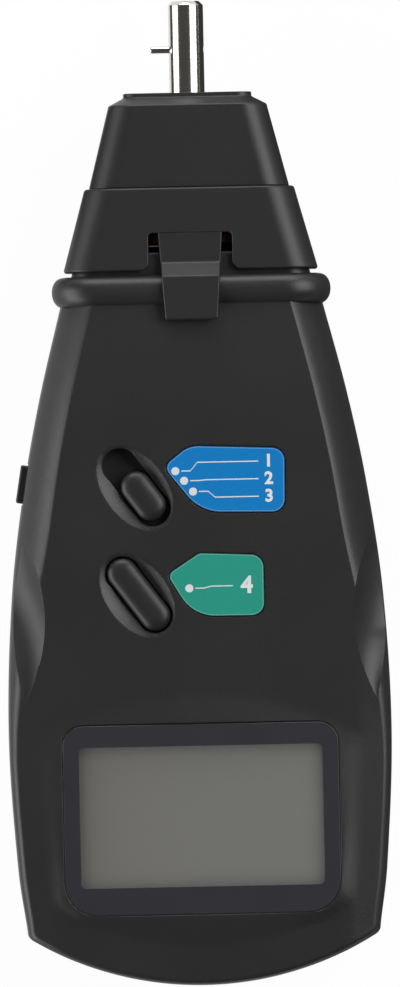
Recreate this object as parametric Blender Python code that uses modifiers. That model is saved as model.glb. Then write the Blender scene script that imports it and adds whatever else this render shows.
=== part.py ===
"""A hand-held laser tachometer with its contact adapter clipped on.

X runs across the case, Y runs from the display end to the spindle, Z runs up through the display.
Sizes are in millimetres and become metres as each mesh is made.
"""

from math import atan2, cos, degrees, pi, radians, sin, sqrt

import bmesh
import bpy
from mathutils import Matrix, Vector

MM = 0.001

# Fits and walls
GAP = 0.3
PARTING_GAP = 0.3
CASE_WALL = 2.0
ADAPTER_WALL = 1.5

# Case outline seen from the front: how far the flank draws in from its widest, place by place, and
# the curved lower end
NECK_Y = 38.0
BAY_SIDE_ROOM = 8.3
FLANK_INSETS = (
    (-87.0, 3.0),
    (-75.0, 1.4),
    (-48.0, 0.0),
    (-20.0, 1.2),
    (2.0, 4.1),
    (20.0, 7.65),
    (NECK_Y, 12.15),
)
CASE_END_Y = -98.35
CASE_END_RADIUS = 66.6
CASE_CORNER_RADIUS = 1.8

# Case depth: the back lies at zero, and both faces draw in towards the neck
TAPER_START_Y = 10.0
FACE_DROP = 1.4
BACK_RISE = 2.8
FRONT_ROUND_WIDTH = 9.4
LOW_ROUND_WIDTH = 3.0
LOW_ROUND_Y = -60.0
FULL_ROUND_Y = -5.0
FRONT_ROUND_RATIO = 1.013
BACK_ROUND_WIDTH = 7.5
BACK_ROUND_START = 0.45
SIDE_DRAFT = 0.3

# Collar and nose
COLLAR_RADIUS = 3.05
COLLAR_HALF_WIDTH = 24.8
COLLAR_BELOW_FACE = 1.75
COLLAR_CORNER = 6.0
NOSE_END_Y = 48.2
NOSE_CHAMFER = 0.8
NOSE_WINDOW_WIDTH = 30.0
NOSE_WINDOW_HEIGHT = 11.0
NOSE_WINDOW_THICKNESS = 1.2
NOSE_WINDOW_RIM = 1.2

# Raised field, display window and display
FIELD_RISE = 0.8
FIELD_HALF_WIDTH = 28.0
FIELD_MARGIN = 0.5
FIELD_LOW_CORNER = 7.0
FIELD_TOP_CORNER = 6.0
FIELD_SHOULDER_Y = -48.0
FIELD_TOP_Y = -40.2
FIELD_ARCH_RADIUS = 62.0
FIELD_ARCH_SLOPE = 4.0
FIELD_ARCH_SPREAD = 25.0
FIELD_FOOT_SPREAD = 29.0
FIELD_FOOT_INSET = 6.9
FIELD_SINK = 0.5
WINDOW_HALF_WIDTH = 27.45
WINDOW_TOP_Y = -46.0
WINDOW_LOW_Y = -83.8
WINDOW_TOP_CORNER = 4.0
WINDOW_LOW_CORNER = 6.6
WINDOW_THICKNESS = 1.2
WINDOW_BELOW_FIELD = 0.15
VIEW_HALF_WIDTH = 24.3
VIEW_TOP_Y = -50.3
VIEW_LOW_Y = -78.4
VIEW_MARGIN = 1.0
VIEW_CORNER = 2.0
PANEL_THICKNESS = 2.4
PANEL_SIDE_BORDER = 2.0
PANEL_END_BORDER = 2.8
CARRIER_RIM = 1.2
CARRIER_LOW_CORNER = 3.0
CARRIER_TOP_CORNER = 2.0
STRIP_WIDTH = 2.0
STRIP_HEIGHT = 2.5
STRIP_INSET = 1.0

# Keys on the face
KEY_ANGLE = degrees(atan2(-8.6, 6.4))
MODE_SLOT_CENTRE = (-11.7, 1.4)
MODE_SLOT_LENGTH = 17.7
MODE_SLOT_WIDTH = 7.0
MODE_KNOB_LENGTH = 10.8
MODE_KNOB_WIDTH = 6.2
MODE_END_GAP = 1.2
MODE_TRAVEL = 5.0
MODE_KNOB_HEIGHT = 1.2
MODE_SWITCH_HEIGHT = 1.6
MODE_SWITCH_WIDTH = 6.0
MODE_SWITCH_END = 2.0
STEM_LENGTH = 2.4
STEM_WIDTH = 1.4
STEM_DIP = 0.8
MEMORY_SLOT_CENTRE = (-11.65, -20.0)
MEMORY_SLOT_LENGTH = 17.4
MEMORY_SLOT_WIDTH = 6.8
MEMORY_KEY_MARGIN = 0.35
MEMORY_KEY_HEIGHT = 1.0
MEMORY_TRAVEL = 0.8
KEY_EDGE = 1.0
KEY_FLANGE = 1.1
KEY_FLANGE_THICKNESS = 1.2
KEY_PAD_DEPTH = 1.4
KEY_PAD_END = 2.0
KEY_PAD_SIDE = 3.0
SCOOP_END_MARGIN = 0.9
SCOOP_HALF_WIDTH = 6.15
SCOOP_DEPTH = 1.7
SCOOP_SHIFT = 0.3

# Side key on the left flank
MEASURE_KEY_Y = 2.35
MEASURE_KEY_LENGTH = 7.7
MEASURE_KEY_HEIGHT = 6.4
MEASURE_KEY_PROUD = 1.2
MEASURE_TRAVEL = 0.8
MEASURE_KEY_EDGE = 0.4
MEASURE_FLANGE = 1.0
MEASURE_FLANGE_GAP = 0.2
MEASURE_FLANGE_LENGTH = 1.0
MEASURE_FLANGE_HEIGHT = 0.4
SIDE_SWITCH_DEPTH = 3.5

# Grip hollows on both edges of the face
GRIP_Y = -24.7
GRIP_HALF_LENGTH = 17.0
GRIP_INNER_INSET = 6.7
GRIP_OUTER_INSET = 0.1
GRIP_INNER_DROP = 0.3
GRIP_OUTER_DROP = 10.6
GRIP_RADIUS = 16.0
GRIP_TIP_SHARE = 1.85

# Labels: thickness, and the corners of both outlines with their radii
LABEL_THICKNESS = 0.4
LABEL_PROUD = 0.1
MODE_LABEL = (
    (-6.34, 5.38, 1.8),
    (0.9, -3.85, 9.0),
    (17.85, -4.15, 2.6),
    (18.0, 8.7, 2.6),
    (-1.1, 9.5, 5.5),
)
MEMORY_LABEL = (
    (-6.03, -16.15, 1.5),
    (-0.9, -24.6, 8.0),
    (13.35, -24.65, 2.6),
    (13.35, -12.5, 2.6),
    (0.5, -11.9, 1.8),
)

# Circuit board and what stands on it
BOARD_OVER_BAY = 0.6
BOARD_THICKNESS = 1.6
BOARD_LOW_Y = -84.5
BOARD_SHOULDER_Y = -24.0
BOARD_TOP_Y = 18.0
BOARD_SIDE = 0.5
BOARD_TOP_HALF_WIDTH = 22.5
BOARD_TAB_INSET = 6.1
BOARD_TAB_Y = (-4.0, 9.0)
BOARD_SCREW_INSET = 3.5
BOARD_SCREW_Y = -8.0
MIDDLE_SCREW = (2.0, 14.0)
BOARD_SCREW_RADIUS = 1.0
BOARD_SCREW_LENGTH = 5.0
BOARD_SCREW_HEAD_RADIUS = 2.0
BOARD_SCREW_HEAD_THICKNESS = 1.2
POST_RADIUS = 2.8
CHIP_SIZE = 12.0
CHIP_MARGIN = 3.0
CHIP_HEIGHT = 1.5
CRYSTAL_AT = (9.0, 5.0)
CRYSTAL_LENGTH = 10.0
CRYSTAL_WIDTH = 4.5
CRYSTAL_HEIGHT = 3.4
CAPACITORS = ((-8.0, -17.0), (0.0, -17.0))
CAPACITOR_RADIUS = 2.5
CAPACITOR_HEIGHT = 6.5
SWITCH_SIZE = 6.0
PLUNGER_RADIUS = 1.6
PLUNGER_HEIGHT = 0.5
LEAD_RADIUS = 0.5
LEAD_END_MARGIN = 5.0

# Battery bay, cells and cover
CELL_RADIUS = 7.15
CELL_LENGTH = 48.8
CELL_NUB_RADIUS = 2.7
CELL_NUB_LENGTH = 1.0
CELL_PLAY = 0.6
BAY_WALL = 1.4
BAY_SIDE_PLAY = 0.5
CELL_OVER_COVER = 0.5
CONTACT_THICKNESS = 0.4
CONTACT_SIZE = 9.0
SPRING_LENGTH = 3.2
SPRING_WIRE = 0.35
SPRING_SMALL_RADIUS = 2.0
SPRING_LARGE_RADIUS = 4.3
SPRING_TURNS = 2.25
BAY_TOP_Y = -29.0
COVER_THICKNESS = 1.8
COVER_RECESS = 0.3
COVER_OVERLAP = 2.6
SHELF_WALL = 1.8
COVER_INSET = 0.7
TONGUE_WIDTH = 1.7
TONGUE_THICKNESS = 0.7
TONGUE_LOW_Y = -82.0
COVER_RIBS = 5
COVER_RIB_START = 8.0
COVER_RIB_PITCH = 2.4
COVER_RIB_WIDTH = 1.0
COVER_RIB_DEPTH = 0.5
COVER_RIB_HALF_LENGTH = 9.0

# Housing screws: how far in from the flank, and how far up the case
UPPER_SCREW = (9.8, 26.0)
LOWER_SCREW = (9.4, -13.0)
SCREW_BOSS_RADIUS = 3.5
SCREW_RADIUS = 1.3
SCREW_HEAD_RADIUS = 2.6
SCREW_HEAD_DEPTH = 3.2
SCREW_HEAD_THICKNESS = 1.8
SCREW_LENGTH = 14.0
SCREW_SLOT_WIDTH = 0.8
SCREW_SLOT_DEPTH = 0.8

# Optics
LASER_X = -9.0
LASER_RADIUS = 4.5
LASER_LENGTH = 21.0
LASER_BEHIND = 6.0
RECEIVER_X = 9.0
LENS_RADIUS = 5.0
LENS_THICKNESS = 2.4
LENS_SETBACK = 1.0
RECEIVER_FLANGE_RADIUS = 6.2
RECEIVER_FLANGE_THICKNESS = 2.0
RECEIVER_CAN_RADIUS = 3.5
RECEIVER_CAN_REACH = 1.6
BRACKET_HALF_WIDTH = 17.0
BRACKET_Y = 30.0
BRACKET_LENGTH = 6.5

# Adapter
SKIRT_LOW_Y = 44.4
SKIRT_LOW_HALF_WIDTH = 25.45
SKIRT_LOW_HALF_DEPTH = 11.9
SKIRT_TOP_Y = 61.0
SKIRT_TOP_HALF_WIDTH = 20.9
SKIRT_TOP_HALF_DEPTH = 11.4
SKIRT_CORNER = 4.2
SKIRT_PLATE = 1.6
SPIGOT_HEIGHT = 2.0
SPIGOT_WALL = 1.5
CAP_STEP = 0.5
CAP_SHOULDER_Y = 77.3
CAP_SHOULDER_HALF_WIDTH = 15.8
CAP_SHOULDER_HALF_DEPTH = 10.1
CAP_LIP_Y = 79.2
CAP_LIP_HALF_WIDTH = 12.8
CAP_LIP_HALF_DEPTH = 7.5
CAP_TOP_Y = 80.2
CAP_CORNER = 3.6
CAP_LIP_SHARPER = 1.4
CAP_END_WALL = 3.2
CAP_BOSS_RADIUS = 6.6
CAP_FRONT_LIP = 1.2

# Clip finger and its notch
NOTCH_HALF_WIDTH = 8.35
NOTCH_TOP_Y = 51.9
REAR_NOTCH_TOP_Y = 47.8
NOTCH_FLARE = 1.9
NOTCH_CORNER = 0.8
FINGER_TOP_HALF_WIDTH = 6.4
FINGER_END_HALF_WIDTH = 5.2
FINGER_END_Y = 34.9
FINGER_THICKNESS = 1.1
FINGER_ROOT = 2.2
FINGER_ROOT_THICKNESS = 1.2
FINGER_BELOW_SKIRT = 0.1
FINGER_RAMP_TOP_Y = 46.0
FINGER_RAMP_LOW_Y = 43.2

# Spindle and what it carries
SPINDLE_RADIUS = 3.52
SPINDLE_END_Y = 98.35
SPINDLE_CHAMFER = 0.8
SPINDLE_SOCKET_RADIUS = 1.9
SPINDLE_SOCKET_DEPTH = 3.5
PIN_RADIUS = 0.7
PIN_Y = 88.7
PIN_REACH = 7.2
PIN_EDGE = 0.2
DISC_RADIUS = 10.0
DISC_Y = 49.9
DISC_THICKNESS = 1.8
MARK_WIDTH = 3.0
MARK_THICKNESS = 0.25
MARK_OUTSIDE = 0.7
MARK_INSIDE = 1.5
BUSH_WALL = 1.2
BUSH_LENGTH = 5.0
COLLAR_RING_RADIUS = 5.4
COLLAR_RING_THICKNESS = 1.2
ADAPTER_SCREW_X = 11.5
ADAPTER_SCREW_RADIUS = 1.2
ADAPTER_SCREW_LENGTH = 10.0
ADAPTER_SCREW_BOSS = 2.8
ADAPTER_SCREW_HEAD = 1.5

# Values that follow from the ones above: joined shapes are sunk by ROOT into what they grow from,
# and cutters reach PAST the faces that they open
ROOT = 2 * GAP
BOSS_ROOT = GAP / 3
PAST = 2 * CASE_WALL
SPAN = -2 * CASE_END_Y
LEAST_CORNER = 2 * ROOT
CELL_PITCH = 2 * CELL_RADIUS + CELL_PLAY
COVER_TOP_Z = COVER_RECESS + COVER_THICKNESS
CELL_Z = COVER_TOP_Z + CELL_OVER_COVER + CELL_RADIUS
BAY_CEILING_Z = CELL_Z + CELL_RADIUS + GAP
BAY_HALF_WIDTH = 1.5 * CELL_PITCH + CELL_RADIUS + BAY_SIDE_PLAY
COVER_HALF_WIDTH = BAY_HALF_WIDTH - COVER_INSET
CASE_HALF_WIDTH = BAY_HALF_WIDTH + BAY_SIDE_ROOM
FLANK = tuple((y, CASE_HALF_WIDTH - inset) for y, inset in FLANK_INSETS)
BOARD_Z = BAY_CEILING_Z + BAY_WALL + BOARD_OVER_BAY
BOARD_TOP_Z = BOARD_Z + BOARD_THICKNESS
BOARD_HALF_WIDTH = BAY_HALF_WIDTH + BOARD_SIDE
BOARD_SCREW_X = BOARD_TOP_HALF_WIDTH - BOARD_SCREW_INSET
BOARD_SCREWS = ((-BOARD_SCREW_X, BOARD_SCREW_Y), (BOARD_SCREW_X, BOARD_SCREW_Y), MIDDLE_SCREW)
CHIP_X = BOARD_SCREW_X - BOARD_SCREW_HEAD_RADIUS - CHIP_MARGIN - CHIP_SIZE / 2
PANEL_Z = BOARD_TOP_Z + STRIP_HEIGHT + 2 * GAP
INNER_FACE_Z = PANEL_Z + PANEL_THICKNESS + GAP
FACE_Z = INNER_FACE_Z + CASE_WALL
AXIS_Z = (FACE_Z - FACE_DROP + BACK_RISE) / 2
COLLAR_HALF_DEPTH = FACE_Z - FACE_DROP - AXIS_Z - COLLAR_BELOW_FACE
FIELD_Z = FACE_Z + FIELD_RISE
WINDOW_Z = FIELD_Z - WINDOW_BELOW_FIELD
KEY_PAD_Z = INNER_FACE_Z - KEY_PAD_DEPTH
FLANGE_TOP_Z = KEY_PAD_Z - GAP
FLANGE_LOW_Z = FLANGE_TOP_Z - KEY_FLANGE_THICKNESS
FLANGE_MIDDLE_Z = (FLANGE_LOW_Z + FLANGE_TOP_Z) / 2
BAY_LENGTH = CELL_LENGTH + CELL_NUB_LENGTH + SPRING_LENGTH + 2 * CONTACT_THICKNESS + 5 * GAP
BAY_LOW_Y = BAY_TOP_Y - BAY_LENGTH
BUSH_BORE = SPINDLE_RADIUS + GAP
BUSH_RADIUS = BUSH_BORE + BUSH_WALL
CAP_BORE = BUSH_RADIUS + GAP
SCREW_HOLE = SCREW_RADIUS + GAP
CAP_LOW_Y = SKIRT_TOP_Y + GAP
CAP_BOSS_LOW_Y = SKIRT_TOP_Y + SPIGOT_HEIGHT + GAP
COLLAR_LOW_Y = NECK_Y - ROOT
COLLAR_START_Y = NECK_Y + COLLAR_RADIUS
COVER_END_Y = BAY_TOP_Y + COVER_OVERLAP
KEY_SLOTS = (
    ("mode", MODE_SLOT_CENTRE, MODE_SLOT_LENGTH, MODE_SLOT_WIDTH),
    ("memory", MEMORY_SLOT_CENTRE, MEMORY_SLOT_LENGTH, MEMORY_SLOT_WIDTH),
)
SIDES = (("left", -1), ("right", 1))
KEY_DIRECTION = Vector((cos(radians(KEY_ANGLE)), sin(radians(KEY_ANGLE)), 0.0))

ROUND = 24
SMALL_ROUND = 12
SPRING_STEPS = 9


def clear_scene():
    for item in list(bpy.data.objects):
        bpy.data.objects.remove(item, do_unlink=True)


clear_scene()
PARTS = bpy.data.collections.new("laser_tachometer")
CUTTERS = bpy.data.collections.new("cutters")
for group in (PARTS, CUTTERS):
    bpy.context.scene.collection.children.link(group)


def finish_material(name, colour, roughness, metallic=0.0, alpha=1.0):
    material = bpy.data.materials.new(name)
    material.use_nodes = True
    shader = material.node_tree.nodes["Principled BSDF"]
    shader.inputs["Base Color"].default_value = (*colour, 1.0)
    shader.inputs["Roughness"].default_value = roughness
    shader.inputs["Metallic"].default_value = metallic
    shader.inputs["Alpha"].default_value = alpha
    return material


def add_object(name, mesh, finish=None, at=(0, 0, 0), turn=None):
    """Adds a mesh as a part with its finish, or as a hidden cutter where it has none."""
    item = bpy.data.objects.new(name, mesh)
    item.location = Vector(at) * MM
    if turn is not None:
        item.rotation_euler = turn.to_euler()
    if finish is None:
        CUTTERS.objects.link(item)
        item.hide_render = True
        item.display_type = "WIRE"
    else:
        PARTS.objects.link(item)
        mesh.materials.append(finish_material(name, *finish))
    return item


def mesh_of(name, bm):
    bmesh.ops.scale(bm, vec=Vector((MM, MM, MM)), verts=bm.verts)
    bmesh.ops.recalc_face_normals(bm, faces=bm.faces)
    mesh = bpy.data.meshes.new(name)
    bm.to_mesh(mesh)
    bm.free()
    mesh.shade_smooth()
    mesh.set_sharp_from_angle(angle=radians(30))
    return mesh


def box(name, low, high, finish=None):
    """A box between two corners, with its origin at its middle."""
    low, high = Vector(low), Vector(high)
    bm = bmesh.new()
    bmesh.ops.create_cube(bm, size=1.0)
    bmesh.ops.scale(bm, vec=high - low, verts=bm.verts)
    return add_object(name, mesh_of(name, bm), finish, (low + high) / 2)


def rod(name, radius, start, end, finish=None, segments=ROUND, end_radius=None):
    """A cylinder or cone from one point to another, with its origin at the start."""
    start, end = Vector(start), Vector(end)
    length = (end - start).length
    bm = bmesh.new()
    bmesh.ops.create_cone(
        bm,
        cap_ends=True,
        segments=segments,
        radius1=radius,
        radius2=radius if end_radius is None else end_radius,
        depth=length,
        matrix=Matrix.Translation((0, 0, length / 2)),
    )
    turn = (end - start).to_track_quat("Z", "Y")
    return add_object(name, mesh_of(name, bm), finish, start, turn)


def ellipsoid(name, radii, at, turn=None, segments=32, rings=16):
    """An ellipsoid whose poles lie on its local Y axis."""
    bm = bmesh.new()
    bmesh.ops.create_uvsphere(bm, u_segments=segments, v_segments=rings, radius=1.0)
    bmesh.ops.rotate(bm, matrix=Matrix.Rotation(pi / 2, 3, "X"), verts=bm.verts)
    bmesh.ops.scale(bm, vec=Vector(radii), verts=bm.verts)
    return add_object(name, mesh_of(name, bm), None, at, turn)


def plate(name, outline, low, high, finish=None, at=(0, 0, 0), turn=None):
    """A flat outline filled and given thickness from one height to another."""
    curve = bpy.data.curves.new(name, "CURVE")
    curve.dimensions = "2D"
    curve.fill_mode = "BOTH"
    curve.extrude = (high - low) / 2 * MM
    spline = curve.splines.new("POLY")
    spline.points.add(len(outline) - 1)
    for point, (x, y) in zip(spline.points, outline):
        point.co = (x * MM, y * MM, 0.0, 1.0)
    spline.use_cyclic_u = True
    return from_curve(name, curve, finish, at, turn, lift=(low + high) / 2)


def wire(name, points, radius, finish):
    """A round wire along a list of points."""
    curve = bpy.data.curves.new(name, "CURVE")
    curve.dimensions = "3D"
    curve.bevel_depth = radius * MM
    curve.bevel_resolution = 2
    curve.use_fill_caps = True
    spline = curve.splines.new("POLY")
    spline.points.add(len(points) - 1)
    for point, place in zip(spline.points, points):
        point.co = (*(Vector(place) * MM), 1.0)
    return from_curve(name, curve, finish)


def from_curve(name, curve, finish, at=(0, 0, 0), turn=None, lift=0.0):
    """Makes a curve a welded mesh, so that Booleans and edges can work on it."""
    drawn = bpy.data.objects.new(name + "_drawn", curve)
    bpy.context.scene.collection.objects.link(drawn)
    graph = bpy.context.evaluated_depsgraph_get()
    mesh = bpy.data.meshes.new_from_object(drawn.evaluated_get(graph))
    bpy.data.objects.remove(drawn, do_unlink=True)
    bm = bmesh.new()
    bm.from_mesh(mesh)
    bpy.data.meshes.remove(mesh)
    bmesh.ops.remove_doubles(bm, verts=bm.verts, dist=0.000001)
    bmesh.ops.scale(bm, vec=Vector((1 / MM, 1 / MM, 1 / MM)), verts=bm.verts)
    bmesh.ops.translate(bm, vec=Vector((0, 0, lift)), verts=bm.verts)
    return add_object(name, mesh_of(name, bm), finish, at, turn)


def turned(name, profile, at, finish, steps=ROUND):
    """A turned piece on the spindle's direction: radii and heights down its outer side."""
    mesh = bpy.data.meshes.new(name)
    points = [(radius * MM, 0.0, height * MM) for radius, height in profile]
    count = len(points)
    closed = profile[0][0] > 0
    edges = [(i, i + 1) for i in range(count - 1)] + ([(count - 1, 0)] if closed else [])
    mesh.from_pydata(points, edges, [])
    item = add_object(name, mesh, finish, at, Matrix.Rotation(-pi / 2, 3, "X"))
    screw = item.modifiers.new("turn", "SCREW")
    screw.steps = steps
    screw.render_steps = steps
    screw.use_merge_vertices = True
    screw.merge_threshold = 0.00001
    screw.use_smooth_shade = True
    return item


def ring_profile(inner, outer, low, high):
    return ((outer, high), (outer, low), (inner, low), (inner, high))


def loft(name, sections, finish=None, at=(0, 0, 0), turn=None):
    """A skin over closed sections with the same number of points, closed at both ends."""
    bm = bmesh.new()
    rings = [[bm.verts.new(point) for point in section] for section in sections]
    for first, second in zip(rings, rings[1:]):
        for i in range(len(first)):
            j = (i + 1) % len(first)
            bm.faces.new((first[i], first[j], second[j], second[i]))
    bm.faces.new(rings[0])
    bm.faces.new(rings[-1])
    return add_object(name, mesh_of(name, bm), finish, at, turn)


def modify(target, tool, operation, solver="EXACT"):
    boolean = target.modifiers.new(tool.name, "BOOLEAN")
    boolean.operation = operation
    boolean.object = tool
    boolean.solver = solver


def cut(target, *tools):
    for tool in tools:
        modify(target, tool, "DIFFERENCE")


def join(target, *tools):
    for tool in tools:
        modify(target, tool, "UNION")


def soften(item, width, segments=2, angle=40):
    bevel = item.modifiers.new("edges", "BEVEL")
    bevel.width = width * MM
    bevel.segments = segments
    bevel.limit_method = "ANGLE"
    bevel.angle_limit = radians(angle)


def arc(centre, radius, start, end, steps):
    """Points along an arc, from one angle to another, in degrees."""
    angles = [radians(start + (end - start) * i / steps) for i in range(steps + 1)]
    return [(centre[0] + radius * cos(a), centre[1] + radius * sin(a)) for a in angles]


def pill(length, width, steps=8):
    """A slot outline along local X, centred on the origin."""
    reach = (length - width) / 2
    return arc((reach, 0), width / 2, -90, 90, steps) + arc((-reach, 0), width / 2, 90, 270, steps)


def rounded_outline(corners, steps=3):
    """A closed outline with each corner (x, y, radius) rounded by an arc."""
    points = []
    count = len(corners)
    for i, (x, y, radius) in enumerate(corners):
        here = Vector((x, y))
        back = (Vector(corners[i - 1][:2]) - here).normalized()
        ahead = (Vector(corners[(i + 1) % count][:2]) - here).normalized()
        if radius <= 0:
            points.append((x, y))
            continue
        half = back.angle(ahead) / 2
        centre = here + (back + ahead).normalized() * radius / sin(half)
        first = here + back * radius * cos(half) / sin(half) - centre
        last = here + ahead * radius * cos(half) / sin(half) - centre
        sweep = first.angle_signed(last)
        for k in range(steps + 1):
            turn = Matrix.Rotation(-sweep * k / steps, 2)
            points.append(tuple(centre + turn @ first))
    return points


def rectangle(half_width, low, high, low_corner, top_corner, steps=4):
    corners = (
        (half_width, low, low_corner),
        (half_width, high, top_corner),
        (-half_width, high, top_corner),
        (-half_width, low, low_corner),
    )
    return rounded_outline(corners, steps)


def cross_section(y, half_width, half_depth, corner, steps=4):
    """A rounded rectangle across the case at one place along it."""
    outline = rectangle(half_width, -half_depth, half_depth, corner, corner, steps)
    return [(x, y, AXIS_Z + z) for x, z in outline]


def flank(y):
    """Half width of the case at one place along it, on a smooth curve through its stations."""
    last = len(FLANK) - 1
    slopes = []
    for i in range(last + 1):
        (y0, w0), (y1, w1) = FLANK[max(i - 1, 0)], FLANK[min(i + 1, last)]
        slopes.append((w1 - w0) / (y1 - y0))
    i = max(k for k in range(last) if k == 0 or y >= FLANK[k][0])
    (y0, w0), (y1, w1) = FLANK[i], FLANK[i + 1]
    step = y1 - y0
    t = (y - y0) / step
    near = (1 + 2 * t) * (1 - t) ** 2 * w0 + t * (1 - t) ** 2 * step * slopes[i]
    far = t * t * (3 - 2 * t) * w1 - t * t * (1 - t) * step * slopes[i + 1]
    return near + far


def half_outline(inset_at, sides=12, corners=3, ends=4):
    """The right half of the case outline, drawn in by an inset: from the low end up to the neck."""
    centre_y = CASE_END_Y + CASE_END_RADIUS
    inset = inset_at(CASE_END_Y)
    reach = CASE_END_RADIUS - inset
    radius = CASE_CORNER_RADIUS + 0.4 * inset
    x = flank(FLANK[0][0]) - inset - radius
    y = centre_y - sqrt((reach - radius) ** 2 - x * x)
    turn = degrees(atan2(y - centre_y, x))
    points = arc((0, centre_y), reach, -90, turn, ends)
    points += arc((x, y), radius, turn, 0, corners)[1:]
    for i in range(1, sides + 1):
        height = y + (NECK_Y - y) * i / sides
        edge = flank(max(height, FLANK[0][0])) - inset_at(height)
        points.append((edge, height))
    return points


def taper(y):
    t = max(0.0, (y - TAPER_START_Y) / (NECK_Y - TAPER_START_Y))
    return t * t


def face_height(y, wall=0.0):
    return FACE_Z - wall - FACE_DROP * taper(y)


def back_height(y, wall=0.0):
    return wall + BACK_RISE * taper(y)


def front_round(y):
    """Width of the front edge's round and the depth share where it starts: narrow round the display."""
    t = min(max((y - LOW_ROUND_Y) / (FULL_ROUND_Y - LOW_ROUND_Y), 0.0), 1.0)
    width = LOW_ROUND_WIDTH + (FRONT_ROUND_WIDTH - LOW_ROUND_WIDTH) * t * t * (3 - 2 * t)
    return width, 1 - FRONT_ROUND_RATIO * width / (FACE_Z - AXIS_Z)


def back_round(_):
    return BACK_ROUND_WIDTH, BACK_ROUND_START


def round_level(turn, edge_round, y, wall):
    """Inset and depth share at one turn of an edge's round. With no turn it is the parting plane."""
    if turn is None:
        return wall, 0.0
    width, start = edge_round(y)
    inset = SIDE_DRAFT + (width - wall - SIDE_DRAFT) * (1 - cos(turn))
    return wall + inset, start + (1 - start) * sin(turn)


def case_form(name, wall=0.0, finish=None, steps=5):
    """The case as one solid form, drawn in by a wall where it cuts the hollow."""
    turns = [pi / 2 * i / steps for i in range(steps + 1)]
    levels = [(turn, back_round, back_height) for turn in reversed(turns)]
    levels += [(turn, front_round, face_height) for turn in (None, *turns)]
    bm = bmesh.new()
    rings = []
    for turn, edge_round, height in levels:
        right = half_outline(lambda y: round_level(turn, edge_round, y, wall)[0])
        outline = [(-x, y) for x, y in reversed(right[1:])] + right
        ring = []
        for x, y in outline:
            share = round_level(turn, edge_round, y, wall)[1]
            z = AXIS_Z + (height(y, wall) - AXIS_Z) * share
            ring.append(bm.verts.new((x, y, z)))
        rings.append(ring)
    for first, second in zip(rings, rings[1:]):
        for i in range(len(first) - 1):
            bm.faces.new((first[i], first[i + 1], second[i + 1], second[i]))
        bm.faces.new((first[0], second[0], second[-1], first[-1]))
    for ring in (rings[0], rings[-1]):
        last = len(ring) - 1
        for i in range(last // 2):
            corners = [ring[i], ring[i + 1], ring[last - i - 1], ring[last - i]]
            if corners[1] is corners[2]:
                corners.pop(2)
            bm.faces.new(corners)
    return add_object(name, mesh_of(name, bm), finish)


# Finishes: colour, roughness, metallic
BLACK_PLASTIC = ((0.028, 0.028, 0.028), 0.5)
KEY_PLASTIC = ((0.034, 0.034, 0.034), 0.45)
CLEAR_PLASTIC = ((0.03, 0.03, 0.035), 0.1, 0.0, 0.35)
DISPLAY_GREY = ((0.16, 0.16, 0.14), 0.25)
NATURAL_PLASTIC = ((0.55, 0.54, 0.5), 0.5)
ELASTOMER = ((0.35, 0.33, 0.32), 0.7)
BOARD_GREEN = ((0.02, 0.14, 0.06), 0.45)
CHIP_BLACK = ((0.02, 0.02, 0.022), 0.5)
BLUE_LABEL = ((0.01, 0.21, 0.5), 0.35)
GREEN_LABEL = ((0.025, 0.29, 0.22), 0.35)
STEEL = ((0.6, 0.6, 0.6), 0.3, 1.0)
NICKEL = ((0.75, 0.73, 0.7), 0.15, 1.0)
BRASS = ((0.7, 0.5, 0.2), 0.3, 1.0)
BRONZE = ((0.5, 0.32, 0.16), 0.4, 1.0)
GLASS = ((0.85, 0.88, 0.9), 0.05, 0.0, 0.35)
CELL_WRAP = ((0.06, 0.1, 0.3), 0.35)
MARK_SILVER = ((0.8, 0.8, 0.8), 0.2, 1.0)
RED_LEAD = ((0.5, 0.02, 0.02), 0.45)
LABELS = (("mode_label", MODE_LABEL, BLUE_LABEL), ("memory_label", MEMORY_LABEL, GREEN_LABEL))


def over(place, z):
    return (place[0], place[1], z)


def turned_about_z(angle):
    return Matrix.Rotation(radians(angle), 3, "Z")


def upright(name, radius, place, low, high, finish=None, segments=SMALL_ROUND):
    """A cylinder that stands on Z over one place."""
    return rod(name, radius, over(place, low), over(place, high), finish, segments)


def lying(name, radius, x, low, high, finish=None, segments=ROUND):
    """A cylinder that lies along Y at the height of the spindle's axis."""
    return rod(name, radius, (x, low, AXIS_Z), (x, high, AXIS_Z), finish, segments)


def slanted(name, centre, outline, low, high, finish=None):
    """A plate turned to the direction of the keys."""
    return plate(name, outline, low, high, finish, over(centre, 0), turned_about_z(KEY_ANGLE))


def carry(parent, *children):
    """Parents pieces that move together, each left where it is."""
    for child in children:
        child.parent = parent
        child.matrix_parent_inverse = parent.matrix_basis.inverted()


def grown(corners, distance):
    """The corners of a convex outline moved out by a distance, with their radii to match."""
    moved = []
    count = len(corners)
    for i, (x, y, radius) in enumerate(corners):
        here = Vector((x, y))
        back = (Vector(corners[i - 1][:2]) - here).normalized()
        ahead = (Vector(corners[(i + 1) % count][:2]) - here).normalized()
        out = -(back + ahead).normalized() * distance / sin(back.angle(ahead) / 2)
        moved.append((x + out.x, y + out.y, radius + distance))
    return moved


def collar_sections(steps=8):
    """A half round bead that runs all the way about the neck."""
    sections = []
    for i in range(steps + 1):
        angle = radians(-90 + 180 * i / steps)
        swell = COLLAR_RADIUS * cos(angle)
        y = COLLAR_LOW_Y + COLLAR_RADIUS * (1 + sin(angle))
        half_width, half_depth = COLLAR_HALF_WIDTH + swell, COLLAR_HALF_DEPTH + swell
        sections.append(cross_section(y, half_width, half_depth, COLLAR_CORNER + swell))
    return sections


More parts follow.
